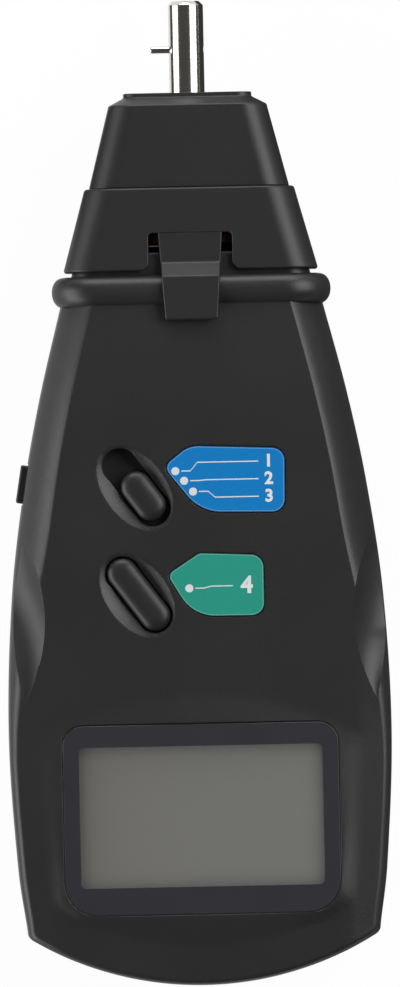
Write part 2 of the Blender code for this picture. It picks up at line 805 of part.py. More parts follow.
def skirt_size(y):
    """Half width and half depth of the skirt's outside at one place along it."""
    t = (y - SKIRT_LOW_Y) / (SKIRT_TOP_Y - SKIRT_LOW_Y)
    half_width = SKIRT_LOW_HALF_WIDTH + (SKIRT_TOP_HALF_WIDTH - SKIRT_LOW_HALF_WIDTH) * t
    half_depth = SKIRT_LOW_HALF_DEPTH + (SKIRT_TOP_HALF_DEPTH - SKIRT_LOW_HALF_DEPTH) * t
    return half_width, half_depth


def skirt_section(y, inset=0.0):
    half_width, half_depth = skirt_size(y)
    return cross_section(y, half_width - inset, half_depth - inset, max(SKIRT_CORNER - inset, LEAST_CORNER))


def nose_sections(inset, low, high, chamfer=0.0):
    """The nose follows the inside of the skirt, a running gap away from it."""
    fit = ADAPTER_WALL + GAP + inset
    sections = [skirt_section(low, fit), skirt_section(high - chamfer, fit)]
    if chamfer:
        sections.append(skirt_section(high, fit + chamfer))
    return sections


def nose_form(name):
    return loft(name, nose_sections(0, COLLAR_START_Y, NOSE_END_Y, NOSE_CHAMFER))


def neck_hollow(name):
    return loft(name, nose_sections(CASE_WALL, NECK_Y - PAST, NOSE_END_Y - CASE_WALL))


def grip_hollow(name, side, grow=0.0):
    """A long ellipsoid laid along one edge of the face, so that it leaves a leaf-shaped hollow."""
    edge = flank(GRIP_Y)
    inner = Vector((edge - GRIP_INNER_INSET, FACE_Z - GRIP_INNER_DROP))
    outer = Vector((edge - GRIP_OUTER_INSET, FACE_Z - GRIP_OUTER_DROP))
    chord = outer - inner
    out = Vector((-chord.y, chord.x)).normalized()
    stand_off = sqrt(GRIP_RADIUS**2 - (chord.length / 2) ** 2)
    middle = (inner + outer) / 2 + out * stand_off
    tip = (stand_off - GRIP_TIP_SHARE * (GRIP_RADIUS - stand_off)) / GRIP_RADIUS
    reach = GRIP_HALF_LENGTH / sqrt(1 - tip**2)
    radii = (GRIP_RADIUS + grow, reach + grow, GRIP_RADIUS + grow)
    return ellipsoid(name, radii, (side * middle.x, GRIP_Y, middle.y))


def key_scoop(name, slot_centre, length):
    """A dished finger hollow round one slot, shifted to its lower left side."""
    radius = (SCOOP_HALF_WIDTH**2 + SCOOP_DEPTH**2) / (2 * SCOOP_DEPTH)
    height = radius - SCOOP_DEPTH
    reach = (length / 2 + SCOOP_END_MARGIN) / sqrt(1 - (height / radius) ** 2)
    aside = turned_about_z(KEY_ANGLE) @ Vector((0, -SCOOP_SHIFT, 0))
    at = Vector(over(slot_centre, FACE_Z + height)) + aside
    return ellipsoid(name, (radius, reach, radius), at, turned_about_z(KEY_ANGLE + 90), 36, 18)


def field_form(name):
    """The raised field round the window: a flat top whose slopes run into the face on all sides."""
    centre = (0, FIELD_TOP_Y - FIELD_ARCH_RADIUS)
    low_y = WINDOW_LOW_Y - FIELD_MARGIN
    top = rectangle(FIELD_HALF_WIDTH, low_y, FIELD_SHOULDER_Y, FIELD_LOW_CORNER, FIELD_TOP_CORNER)
    spread = FIELD_ARCH_SPREAD
    top += arc(centre, FIELD_ARCH_RADIUS - FIELD_ARCH_SLOPE, 90 - spread, 90 + spread, 8)
    sunk_slope = FIELD_ARCH_SLOPE * FIELD_SINK / FIELD_RISE
    spread = FIELD_FOOT_SPREAD
    foot = arc(centre, FIELD_ARCH_RADIUS + sunk_slope, 90 - spread, 90 + spread, 10)
    right = [(x, y) for x, y in half_outline(lambda _: FIELD_FOOT_INSET) if y < FIELD_SHOULDER_Y]
    foot += right + [(-x, y) for x, y in right]
    bm = bmesh.new()
    for outline, z in ((top, FIELD_Z), (foot, FACE_Z - FIELD_SINK)):
        for x, y in outline:
            bm.verts.new((x, y, z))
    bmesh.ops.remove_doubles(bm, verts=bm.verts, dist=0.01)
    bmesh.ops.convex_hull(bm, input=bm.verts)
    bmesh.ops.delete(bm, geom=[vert for vert in bm.verts if not vert.link_faces], context="VERTS")
    return add_object(name, mesh_of(name, bm))


def screw_places():
    return [(side * (flank(y) - inset), y) for inset, y in (UPPER_SCREW, LOWER_SCREW) for side in (-1, 1)]


def measure_frame():
    """Where the side key meets the flank, and the turn whose local X points out of the case."""
    y = MEASURE_KEY_Y
    slope = (flank(y + 1) - flank(y - 1)) / 2
    return Vector((-flank(y), y, AXIS_Z)), turned_about_z(180 - degrees(atan2(-slope, 1)))


def local_box(name, low, high, finish=None):
    """A box given in the side key's own directions."""
    origin, turn = measure_frame()
    low, high = Vector(low), Vector(high)
    item = box(name, low, high, finish)
    item.location = (origin + turn @ ((low + high) / 2)) * MM
    item.rotation_euler = turn.to_euler()
    return item


def window_outline(grow):
    corners = (
        (WINDOW_HALF_WIDTH, WINDOW_LOW_Y, WINDOW_LOW_CORNER),
        (WINDOW_HALF_WIDTH, WINDOW_TOP_Y, WINDOW_TOP_CORNER),
        (-WINDOW_HALF_WIDTH, WINDOW_TOP_Y, WINDOW_TOP_CORNER),
        (-WINDOW_HALF_WIDTH, WINDOW_LOW_Y, WINDOW_LOW_CORNER),
    )
    return rounded_outline(grown(corners, grow), 5)


def side_key_opening(half):
    length = MEASURE_KEY_LENGTH / 2 + GAP
    height = MEASURE_KEY_HEIGHT / 2 + GAP
    return local_box(f"side_opening_{half}", (-CASE_WALL - PAST, -length, -height), (PAST, length, height))


def nose_window_cutters(half):
    """A seat for the nose window, and the opening behind it with a rim left all round."""
    cutters = []
    seat_y = NOSE_END_Y - NOSE_WINDOW_THICKNESS - 2 * GAP
    for name, grow, low_y in (("opening", -NOSE_WINDOW_RIM, NOSE_END_Y - PAST), ("seat", GAP, seat_y)):
        wide, high = NOSE_WINDOW_WIDTH / 2 + grow, NOSE_WINDOW_HEIGHT / 2 + grow
        low_corner = (-wide, low_y, AXIS_Z - high)
        high_corner = (wide, NOSE_END_Y + PAST, AXIS_Z + high)
        cutters.append(box(f"nose_{name}_{half}", low_corner, high_corner))
    return cutters


def build_front_housing():
    housing = case_form("front_housing", finish=BLACK_PLASTIC)
    collar = loft("collar_front", collar_sections())
    join(housing, collar, nose_form("nose_front"), field_form("raised_field"))
    hollow = case_form("front_hollow", CASE_WALL, steps=4)
    for name, side in SIDES:
        cut(hollow, grip_hollow(f"grip_wall_{name}", side, CASE_WALL))
    parting_z = AXIS_Z + PARTING_GAP / 2
    below = box("below_parting", (-SPAN, -SPAN, -SPAN), (SPAN, SPAN, parting_z))
    cut(housing, hollow, neck_hollow("neck_hollow_front"), below)

    for name, centre, length, width in KEY_SLOTS:
        outline = pill(length + 2 * KEY_PAD_END, width + 2 * KEY_PAD_SIDE)
        join(housing, slanted(f"{name}_pad", centre, outline, KEY_PAD_Z, INNER_FACE_Z + ROOT))
    boss_top = INNER_FACE_Z + BOSS_ROOT
    for i, place in enumerate(screw_places(), 1):
        join(housing, upright(f"front_boss_{i}", SCREW_BOSS_RADIUS, place, parting_z, boss_top, segments=16))
    for i, place in enumerate(BOARD_SCREWS, 1):
        join(housing, upright(f"board_post_{i}", POST_RADIUS, place, BOARD_TOP_Z + GAP, INNER_FACE_Z + ROOT))

    for i, place in enumerate(screw_places(), 1):
        top = SCREW_HEAD_DEPTH + SCREW_LENGTH + 2 * GAP + back_height(place[1])
        cut(housing, upright(f"front_pilot_{i}", SCREW_HOLE, place, 0, top))
    for i, place in enumerate(BOARD_SCREWS, 1):
        top = BOARD_Z + BOARD_SCREW_LENGTH + GAP
        cut(housing, upright(f"board_pilot_{i}", BOARD_SCREW_RADIUS + GAP, place, BOARD_Z, top))
    for name, side in SIDES:
        cut(housing, grip_hollow(f"grip_{name}", side))
    for name, centre, length, width in KEY_SLOTS:
        slot = slanted(f"{name}_slot", centre, pill(length, width), KEY_PAD_Z - PAST, FIELD_Z + PAST)
        cut(housing, key_scoop(f"{name}_scoop", centre, length), slot)

    recess_z = WINDOW_Z - WINDOW_THICKNESS - GAP
    cut(housing, plate("window_recess", window_outline(GAP), recess_z, FIELD_Z + PAST))
    half = VIEW_HALF_WIDTH + VIEW_MARGIN
    view = rectangle(half, VIEW_LOW_Y - VIEW_MARGIN, VIEW_TOP_Y + VIEW_MARGIN, VIEW_CORNER, VIEW_CORNER, 2)
    cut(housing, plate("view_opening", view, INNER_FACE_Z - PAST, FIELD_Z + PAST))
    pocket_z = FACE_Z + LABEL_PROUD - LABEL_THICKNESS - GAP
    for name, corners, _ in LABELS:
        outline = rounded_outline(grown(corners, GAP))
        cut(housing, plate(f"{name}_pocket", outline, pocket_z, FACE_Z + PAST))
    cut(housing, side_key_opening("front"), *nose_window_cutters("front"))


def build_rear_housing():
    housing = case_form("rear_housing", finish=BLACK_PLASTIC)
    join(housing, loft("collar_rear", collar_sections()), nose_form("nose_rear"))
    hollow = case_form("rear_hollow", CASE_WALL, steps=4)
    side, low, high = BAY_HALF_WIDTH + BAY_WALL, BAY_LOW_Y - BAY_WALL, BAY_TOP_Y + BAY_WALL
    roof_z = BAY_CEILING_Z + BAY_WALL
    shelf_side = COVER_HALF_WIDTH + TONGUE_WIDTH + GAP + CASE_WALL
    shelf_end = COVER_END_Y + GAP + CASE_WALL
    shelf_z = COVER_TOP_Z + GAP + SHELF_WALL
    shelf = box("bay_shelf", (-shelf_side, -SPAN, -PAST), (shelf_side, shelf_end, shelf_z))
    cut(hollow, shelf, box("bay_block", (-side, low, -PAST), (side, high, roof_z)))
    parting_z = AXIS_Z - PARTING_GAP / 2
    above = box("above_parting", (-SPAN, -SPAN, parting_z), (SPAN, SPAN, SPAN))
    cut(housing, hollow, neck_hollow("neck_hollow_rear"), above)
    join(housing, box("bay_roof", (-side, low, AXIS_Z - PAST), (side, high, roof_z)))
    for i, place in enumerate(screw_places(), 1):
        foot = back_height(place[1]) + CASE_WALL - ROOT
        join(housing, upright(f"rear_boss_{i}", SCREW_BOSS_RADIUS, place, foot, parting_z, segments=16))
    for i, place in enumerate(screw_places(), 1):
        head_z = back_height(place[1]) + SCREW_HEAD_DEPTH
        well = upright(f"screw_well_{i}", SCREW_HEAD_RADIUS + GAP, place, -PAST, head_z)
        cut(housing, well, upright(f"screw_hole_{i}", SCREW_HOLE, place, 0, AXIS_Z + PAST))
    bay = box("bay_hollow", (-BAY_HALF_WIDTH, BAY_LOW_Y, -PAST), (BAY_HALF_WIDTH, BAY_TOP_Y, BAY_CEILING_Z))
    cut(housing, bay, cover_bar("cover_recess", COVER_HALF_WIDTH, -PAST, COVER_TOP_Z, GAP))
    cut(housing, side_key_opening("rear"), *nose_window_cutters("rear"))
    groove_z = COVER_TOP_Z - TONGUE_THICKNESS - GAP
    groove = cover_bar("cover_groove", COVER_HALF_WIDTH + TONGUE_WIDTH, groove_z, COVER_TOP_Z, GAP)
    modify(housing, groove, "DIFFERENCE", "MANIFOLD")


def cover_bar(name, half_width, low_z, high_z, grow=0.0, low_y=None):
    """A flat bar over the battery bay, past the low end of the case unless it stops at low_y."""
    low_y = CASE_END_Y - PAST if low_y is None else low_y
    side = half_width + grow
    return box(name, (-side, low_y, low_z), (side, COVER_END_Y + grow, high_z + grow))


def build_battery_cover():
    """The cover takes the case's own outside at the lower end, and its two tongues run in grooves."""
    cover = case_form("battery_cover", finish=BLACK_PLASTIC)
    modify(cover, cover_bar("cover_slab", COVER_HALF_WIDTH, COVER_RECESS, COVER_TOP_Z), "INTERSECT")
    tongue_side, tongue_z = COVER_HALF_WIDTH + TONGUE_WIDTH, COVER_TOP_Z - TONGUE_THICKNESS
    join(cover, cover_bar("cover_tongue", tongue_side, tongue_z, COVER_TOP_Z, low_y=TONGUE_LOW_Y))
    for i in range(COVER_RIBS):
        y = COVER_END_Y - COVER_RIB_START - COVER_RIB_PITCH * i
        low_corner = (-COVER_RIB_HALF_LENGTH, y, -PAST)
        high_corner = (COVER_RIB_HALF_LENGTH, y + COVER_RIB_WIDTH, COVER_RECESS + COVER_RIB_DEPTH)
        cut(cover, box(f"cover_rib_{i + 1}", low_corner, high_corner))


def build_display():
    """The window lies in the raised field; the panel hangs under it in a frame that stands on the board."""
    plate("display_window", window_outline(0), WINDOW_Z - WINDOW_THICKNESS, WINDOW_Z, CLEAR_PLASTIC)
    half = VIEW_HALF_WIDTH + PANEL_SIDE_BORDER
    low, high = VIEW_LOW_Y - PANEL_END_BORDER, VIEW_TOP_Y + PANEL_END_BORDER
    panel_top = PANEL_Z + PANEL_THICKNESS
    box("lcd_panel", (-half, low, PANEL_Z), (half, high, panel_top), DISPLAY_GREY)
    foot = BOARD_TOP_Z + GAP
    edge = GAP + CARRIER_RIM
    outline = rectangle(half + edge, low - edge, high + edge, CARRIER_LOW_CORNER, CARRIER_TOP_CORNER, 3)
    carrier = plate("display_carrier", outline, foot, panel_top - GAP, NATURAL_PLASTIC)
    hole_low, hole_high = (-half - GAP, low - GAP, foot - PAST), (half + GAP, high + GAP, panel_top + PAST)
    cut(carrier, box("carrier_hole", hole_low, hole_high))
    reach = half - STRIP_INSET
    for name, y in (("elastomer_strip_lower", low), ("elastomer_strip_upper", high - STRIP_WIDTH)):
        box(name, (-reach, y, foot), (reach, y + STRIP_WIDTH, PANEL_Z - GAP), ELASTOMER)


def build_board():
    """The board fills the case at the display and narrows towards the neck, with a tab at the side key."""
    low, shoulder = BOARD_HALF_WIDTH, BOARD_TOP_HALF_WIDTH
    tab = BOARD_TAB_INSET - flank(MEASURE_KEY_Y)
    outline = [
        (-low, BOARD_LOW_Y),
        (low, BOARD_LOW_Y),
        (low, BOARD_SHOULDER_Y),
        (shoulder, BOARD_SHOULDER_Y),
        (shoulder, BOARD_TOP_Y),
        (-shoulder, BOARD_TOP_Y),
        (-shoulder, BOARD_TAB_Y[1]),
        (tab, BOARD_TAB_Y[1]),
        (tab, BOARD_TAB_Y[0]),
        (-shoulder, BOARD_TAB_Y[0]),
        (-shoulder, BOARD_SHOULDER_Y),
        (-low, BOARD_SHOULDER_Y),
    ]
    board = plate("circuit_board", outline, BOARD_Z, BOARD_TOP_Z, BOARD_GREEN)
    under = BOARD_Z - GAP
    for i, place in enumerate(BOARD_SCREWS, 1):
        hole_radius = BOARD_SCREW_RADIUS + GAP
        cut(board, upright(f"board_hole_{i}", hole_radius, place, BOARD_Z - PAST, BOARD_TOP_Z + PAST))
        head_low = under - BOARD_SCREW_HEAD_THICKNESS
        screw = upright(f"board_screw_{i}", BOARD_SCREW_HEAD_RADIUS, place, head_low, under, STEEL)
        tip = BOARD_Z + BOARD_SCREW_LENGTH
        join(screw, upright(f"board_shank_{i}", BOARD_SCREW_RADIUS, place, under - ROOT, tip, segments=8))
    x, y = CHIP_X, BOARD_SCREW_Y
    half = CHIP_SIZE / 2
    box("controller_chip", (x - half, y - half, under - CHIP_HEIGHT), (x + half, y + half, under), CHIP_BLACK)
    can = pill(CRYSTAL_LENGTH, CRYSTAL_WIDTH, 6)
    plate("crystal", can, under - CRYSTAL_HEIGHT, under, STEEL, at=over(CRYSTAL_AT, 0))
    for i, place in enumerate(CAPACITORS, 1):
        low_z = under - CAPACITOR_HEIGHT
        upright(f"capacitor_{i}", CAPACITOR_RADIUS, place, low_z, under, CHIP_BLACK, segments=16)


def build_mode_slider():
    """The knob rides in its slot on a long flange, which keeps dust out at both ends of its travel."""
    start = MODE_SLOT_LENGTH / 2 - MODE_KNOB_LENGTH / 2 - MODE_END_GAP
    at = Vector(over(MODE_SLOT_CENTRE, 0)) + KEY_DIRECTION * start
    outline = pill(MODE_KNOB_LENGTH, MODE_KNOB_WIDTH)
    knob = slanted("mode_slider", at, outline, FLANGE_MIDDLE_Z, FACE_Z + MODE_KNOB_HEIGHT, KEY_PLASTIC)
    soften(knob, KEY_EDGE, 3)
    length = MODE_SLOT_LENGTH + 2 * KEY_FLANGE + MODE_TRAVEL
    shift = MODE_TRAVEL / 2 - start
    outline = [(x + shift, y) for x, y in pill(length, MODE_SLOT_WIDTH + 2 * KEY_FLANGE)]
    flange = slanted("mode_flange", at, outline, FLANGE_LOW_Z, FLANGE_TOP_Z)
    foot = BOARD_TOP_Z + GAP
    stem_low = foot + MODE_SWITCH_HEIGHT - STEM_DIP
    stem = slanted("mode_stem", at, rectangle_points(STEM_LENGTH, STEM_WIDTH), stem_low, FLANGE_MIDDLE_Z)
    join(knob, flange, stem)

    switch_at = Vector(over(MODE_SLOT_CENTRE, 0)) + KEY_DIRECTION * (start - MODE_TRAVEL / 2)
    track_length = STEM_LENGTH + MODE_TRAVEL + 2 * GAP
    outline = rectangle_points(track_length + 2 * MODE_SWITCH_END, MODE_SWITCH_WIDTH)
    body = slanted("mode_switch", switch_at, outline, foot, foot + MODE_SWITCH_HEIGHT, CHIP_BLACK)
    outline = rectangle_points(track_length, STEM_WIDTH + 2 * GAP)
    cut(body, slanted("mode_track", switch_at, outline, stem_low - GAP, foot + MODE_SWITCH_HEIGHT + PAST))


def rectangle_points(length, width):
    long, wide = length / 2, width / 2
    return [(-long, -wide), (long, -wide), (long, wide), (-long, wide)]


def build_memory_key():
    """A key that fills its slot, with a flange under the pad and a tact switch under the flange."""
    centre, length, width = MEMORY_SLOT_CENTRE, MEMORY_SLOT_LENGTH, MEMORY_SLOT_WIDTH
    outline = pill(length - 2 * MEMORY_KEY_MARGIN, width - 2 * MEMORY_KEY_MARGIN)
    key = slanted("memory_key", centre, outline, FLANGE_MIDDLE_Z, FACE_Z + MEMORY_KEY_HEIGHT, KEY_PLASTIC)
    soften(key, KEY_EDGE, 3)
    outline = pill(length + 2 * KEY_FLANGE, width + 2 * KEY_FLANGE)
    join(key, slanted("memory_flange", centre, outline, FLANGE_LOW_Z, FLANGE_TOP_Z))

    half = SWITCH_SIZE / 2
    x, y = centre
    low, high = BOARD_TOP_Z + GAP, FLANGE_LOW_Z - MEMORY_TRAVEL - GAP / 2
    shoulder = high - PLUNGER_HEIGHT
    switch = box("memory_switch", (x - half, y - half, low), (x + half, y + half, shoulder), CHIP_BLACK)
    join(switch, upright("memory_plunger", PLUNGER_RADIUS, centre, shoulder - GAP, high))


def build_measure_key():
    """A side key through the left flank, pressed in along the flank's own normal."""
    length, height = MEASURE_KEY_LENGTH / 2, MEASURE_KEY_HEIGHT / 2
    flange_x = -CASE_WALL - GAP - MEASURE_FLANGE_GAP
    low_corner, high_corner = (flange_x - ROOT, -length, -height), (MEASURE_KEY_PROUD, length, height)
    key = local_box("measure_key", low_corner, high_corner, KEY_PLASTIC)
    soften(key, MEASURE_KEY_EDGE, 2)
    flange_low = flange_x - MEASURE_FLANGE
    long, high = length + MEASURE_FLANGE_LENGTH, height + MEASURE_FLANGE_HEIGHT
    join(key, local_box("measure_flange", (flange_low, -long, -high), (flange_x, long, high)))
    near = flange_low - MEASURE_TRAVEL - GAP
    half = SWITCH_SIZE / 2
    under = BOARD_Z - GAP - AXIS_Z
    local_box("measure_switch", (near - SIDE_SWITCH_DEPTH, -half, -half), (near, half, under), CHIP_BLACK)


def build_labels():
    """Thin printed labels laid in pockets, a little proud of the face."""
    top = FACE_Z + LABEL_PROUD
    for name, corners, finish in LABELS:
        plate(name, rounded_outline(corners), top - LABEL_THICKNESS, top, finish)


def build_optics():
    """The laser and the receiver stand side by side in a bracket across the neck, behind the nose window."""
    laser_low = BRACKET_Y - LASER_BEHIND
    lying("laser_module", LASER_RADIUS, LASER_X, laser_low, laser_low + LASER_LENGTH, BRASS)
    end = BRACKET_Y + BRACKET_LENGTH
    low, high = back_height(end, CASE_WALL) + GAP, face_height(end, CASE_WALL) - GAP
    half = BRACKET_HALF_WIDTH
    bracket = box("optics_bracket", (-half, BRACKET_Y, low), (half, end, high), CHIP_BLACK)
    for name, x, radius in (("laser_bore", LASER_X, LASER_RADIUS), ("lens_bore", RECEIVER_X, LENS_RADIUS)):
        cut(bracket, lying(name, radius + GAP, x, BRACKET_Y - PAST, end + PAST))
    lens_top = end - LENS_SETBACK
    lying("receiver_lens", LENS_RADIUS, RECEIVER_X, lens_top - LENS_THICKNESS, lens_top, GLASS)
    flange_top = BRACKET_Y - GAP
    flange_low = flange_top - RECEIVER_FLANGE_THICKNESS
    receiver = lying("receiver", RECEIVER_FLANGE_RADIUS, RECEIVER_X, flange_low, flange_top, CHIP_BLACK, 16)
    can_low, can_top = flange_top - ROOT, BRACKET_Y + RECEIVER_CAN_REACH
    join(receiver, lying("receiver_can", RECEIVER_CAN_RADIUS, RECEIVER_X, can_low, can_top, segments=16))
    wide, high = NOSE_WINDOW_WIDTH / 2, NOSE_WINDOW_HEIGHT / 2
    face = NOSE_END_Y - GAP
    back = face - NOSE_WINDOW_THICKNESS
    box("nose_window", (-wide, back, AXIS_Z - high), (wide, face, AXIS_Z + high), GLASS)
    wire("laser_lead", lead_route(LASER_X, laser_low - GAP), LEAD_RADIUS, RED_LEAD)
    wire("receiver_lead", lead_route(RECEIVER_X, flange_low - GAP), LEAD_RADIUS, CHIP_BLACK)


def lead_route(x, y, steps=8):
    """A soft bend from the back of a module to the underside of the board."""
    start = Vector((x, y, AXIS_Z))
    end = Vector((x, BOARD_TOP_Y - LEAD_END_MARGIN, BOARD_Z - GAP))
    behind = start + Vector((0, -0.6 * (start.y - end.y), 0))
    below = end + Vector((0, 0, -0.9 * (end.z - start.z)))
    points = []
    for i in range(steps + 1):
        t = i / steps
        near = (1 - t) ** 3 * start + 3 * t * (1 - t) ** 2 * behind
        points.append(near + 3 * t * t * (1 - t) * below + t**3 * end)
    return points


def build_battery():
    """Four cells lie side by side, every other one turned, between contact plates and springs."""
    places = [(i - 1.5) * CELL_PITCH for i in range(4)]
    plate_depth = 2 * GAP + CONTACT_THICKNESS
    for i, x in enumerate(places):
        up = 1 if i % 2 == 0 else -1
        nub_wall, flat_wall = (BAY_TOP_Y, BAY_LOW_Y) if up > 0 else (BAY_LOW_Y, BAY_TOP_Y)
        tip = nub_wall - up * plate_depth
        shoulder = tip - up * CELL_NUB_LENGTH
        foot = shoulder - up * CELL_LENGTH
        cell = rod(f"battery_cell_{i + 1}", CELL_RADIUS, (x, foot, CELL_Z), (x, shoulder, CELL_Z), CELL_WRAP)
        nub_low, nub_high = (x, shoulder - up * ROOT, CELL_Z), (x, tip, CELL_Z)
        join(cell, rod(f"cell_nub_{i + 1}", CELL_NUB_RADIUS, nub_low, nub_high, segments=SMALL_ROUND))
        coil = spring_points(x, foot - up * GAP, flat_wall + up * plate_depth)
        wire(f"contact_spring_{i + 1}", coil, SPRING_WIRE, STEEL)
    half = CONTACT_SIZE / 2
    top, low = BAY_TOP_Y - GAP - CONTACT_THICKNESS, BAY_LOW_Y + GAP
    spans = ((top, 0, 1), (top, 2, 3), (low, 0, 0), (low, 1, 2), (low, 3, 3))
    for i, (y, first, last) in enumerate(spans, 1):
        low_corner = (places[first] - half, y, CELL_Z - half)
        high_corner = (places[last] + half, y + CONTACT_THICKNESS, CELL_Z + half)
        box(f"contact_plate_{i}", low_corner, high_corner, STEEL)


def spring_points(x, cell_end, plate_end):
    """A conical coil between the cell's flat end and its contact plate."""
    count = int(SPRING_TURNS * SPRING_STEPS)
    way = 1 if plate_end > cell_end else -1
    start, end = cell_end + way * SPRING_WIRE, plate_end - way * SPRING_WIRE
    points = []
    for i in range(count + 1):
        t = i / count
        radius = SPRING_SMALL_RADIUS + (SPRING_LARGE_RADIUS - SPRING_SMALL_RADIUS) * t
        angle = 2 * pi * SPRING_TURNS * t
        points.append((x + radius * cos(angle), start + (end - start) * t, CELL_Z + radius * sin(angle)))
    return points


def build_housing_screws():
    """Slotted screws from the back, each in a well, into the front housing's bosses."""
    for i, place in enumerate(screw_places(), 1):
        x, y = place
        top = back_height(y) + SCREW_HEAD_DEPTH - GAP
        low = top - SCREW_HEAD_THICKNESS
        screw = upright(f"housing_screw_{i}", SCREW_HEAD_RADIUS, place, low, top, STEEL, segments=16)
        tip = top + SCREW_LENGTH
        join(screw, upright(f"screw_shank_{i}", SCREW_RADIUS, place, top - ROOT, tip, segments=8))
        wide, long = SCREW_SLOT_WIDTH / 2, SCREW_HEAD_RADIUS + PAST
        slot_top = low + SCREW_SLOT_DEPTH
        cut(screw, box(f"screw_slot_{i}", (x - wide, y - long, low - PAST), (x + wide, y + long, slot_top)))


def clip_finger(name, face, top_y):
    """A moulded finger: flush with the skirt, then a ramp, then flat over the collar."""
    clear = COLLAR_HALF_DEPTH + COLLAR_RADIUS + GAP
    outer = clear + FINGER_THICKNESS
    root_y = top_y + FINGER_ROOT
    root_depth = skirt_size(root_y)[1] - FINGER_BELOW_SKIRT
    knee_depth = skirt_size(FINGER_RAMP_TOP_Y)[1] - FINGER_BELOW_SKIRT
    stations = (
        (root_y, root_depth, root_depth - FINGER_ROOT_THICKNESS),
        (FINGER_RAMP_TOP_Y, knee_depth, knee_depth - FINGER_ROOT_THICKNESS),
        (FINGER_RAMP_LOW_Y, outer, clear - ROOT),
        (FINGER_RAMP_LOW_Y - FINGER_THICKNESS, outer, clear),
        (FINGER_END_Y, outer, clear),
    )
    sections = []
    for y, high, low in stations:
        t = (top_y - y) / (top_y - FINGER_END_Y)
        half = FINGER_TOP_HALF_WIDTH + (FINGER_END_HALF_WIDTH - FINGER_TOP_HALF_WIDTH) * t
        corners = ((-half, high), (half, high), (half, low), (-half, low))
        sections.append([(x, y, AXIS_Z + face * depth) for x, depth in corners])
    return loft(name, sections)


def notch_outline(top_y):
    """The notch about a finger, flared at its mouth and rounded at its top corners."""
    half, flare, low, corner = NOTCH_HALF_WIDTH, NOTCH_FLARE, SKIRT_LOW_Y, NOTCH_CORNER
    right = [(half + flare, low - PAST)] + arc((half + flare, low + flare), flare, -90, -180, 5)
    right += arc((half - corner, top_y - corner), corner, 0, 90, 3)
    return right + [(-x, y) for x, y in reversed(right)]


def build_adapter_skirt():
    skirt = loft("adapter_skirt", [skirt_section(SKIRT_LOW_Y), skirt_section(SKIRT_TOP_Y)], BLACK_PLASTIC)
    hollow_ends = (SKIRT_LOW_Y - PAST, SKIRT_TOP_Y - SKIRT_PLATE)
    cut(skirt, loft("skirt_hollow", [skirt_section(y, ADAPTER_WALL) for y in hollow_ends]))
    fit = CAP_STEP + ADAPTER_WALL + GAP
    spigot_ends = (SKIRT_TOP_Y - ROOT, SKIRT_TOP_Y + SPIGOT_HEIGHT)
    join(skirt, loft("spigot", [skirt_section(y, fit) for y in spigot_ends]))
    well_ends = (SKIRT_TOP_Y, SKIRT_TOP_Y + SPIGOT_HEIGHT + PAST)
    cut(skirt, loft("spigot_well", [skirt_section(y, fit + SPIGOT_WALL) for y in well_ends]))
    cut(skirt, plate("front_notch", notch_outline(NOTCH_TOP_Y), AXIS_Z, 2 * AXIS_Z + PAST))
    cut(skirt, plate("rear_notch", notch_outline(REAR_NOTCH_TOP_Y), -PAST, AXIS_Z))
    join(skirt, clip_finger("front_finger", 1, NOTCH_TOP_Y), clip_finger("rear_finger", -1, REAR_NOTCH_TOP_Y))
    low, high = SKIRT_TOP_Y - SKIRT_PLATE - PAST, SKIRT_TOP_Y + PAST
    cut(skirt, lying("skirt_bore", COLLAR_RING_RADIUS + 2 * GAP, 0, low, high))
    for name, side in SIDES:
        x = side * ADAPTER_SCREW_X
        hole_radius = ADAPTER_SCREW_RADIUS + GAP
        cut(skirt, lying(f"skirt_screw_hole_{name}", hole_radius, x, low, high, segments=SMALL_ROUND))
    return skirt


def cap_sections():
    """The cap's outside: a taper, a chamfer and a short upright lip."""
    half_width, half_depth = skirt_size(CAP_LOW_Y)
    lip_corner = CAP_CORNER - CAP_LIP_SHARPER
    return (
        cross_section(CAP_LOW_Y, half_width - CAP_STEP, half_depth - CAP_STEP, CAP_CORNER),
        cross_section(CAP_SHOULDER_Y, CAP_SHOULDER_HALF_WIDTH, CAP_SHOULDER_HALF_DEPTH, CAP_CORNER),
        cross_section(CAP_LIP_Y, CAP_LIP_HALF_WIDTH, CAP_LIP_HALF_DEPTH, lip_corner),
        cross_section(CAP_TOP_Y, CAP_LIP_HALF_WIDTH, CAP_LIP_HALF_DEPTH, lip_corner),
    )


def cap_hollow(end):
    """The hollow keeps the adapter's wall under the taper, from past the open end to an end wall."""
    half_width, half_depth = skirt_size(CAP_LOW_Y)
    run = CAP_SHOULDER_Y - CAP_LOW_Y
    narrow = (half_width - CAP_STEP - CAP_SHOULDER_HALF_WIDTH) / run
    thin = (half_depth - CAP_STEP - CAP_SHOULDER_HALF_DEPTH) / run
    sections = []
    for y in (CAP_LOW_Y - PAST, end):
        wide = half_width - CAP_STEP - ADAPTER_WALL - narrow * (y - CAP_LOW_Y)
        deep = half_depth - CAP_STEP - ADAPTER_WALL - thin * (y - CAP_LOW_Y)
        sections.append(cross_section(y, wide, deep, CAP_CORNER - ADAPTER_WALL))
    return loft("cap_hollow", sections)


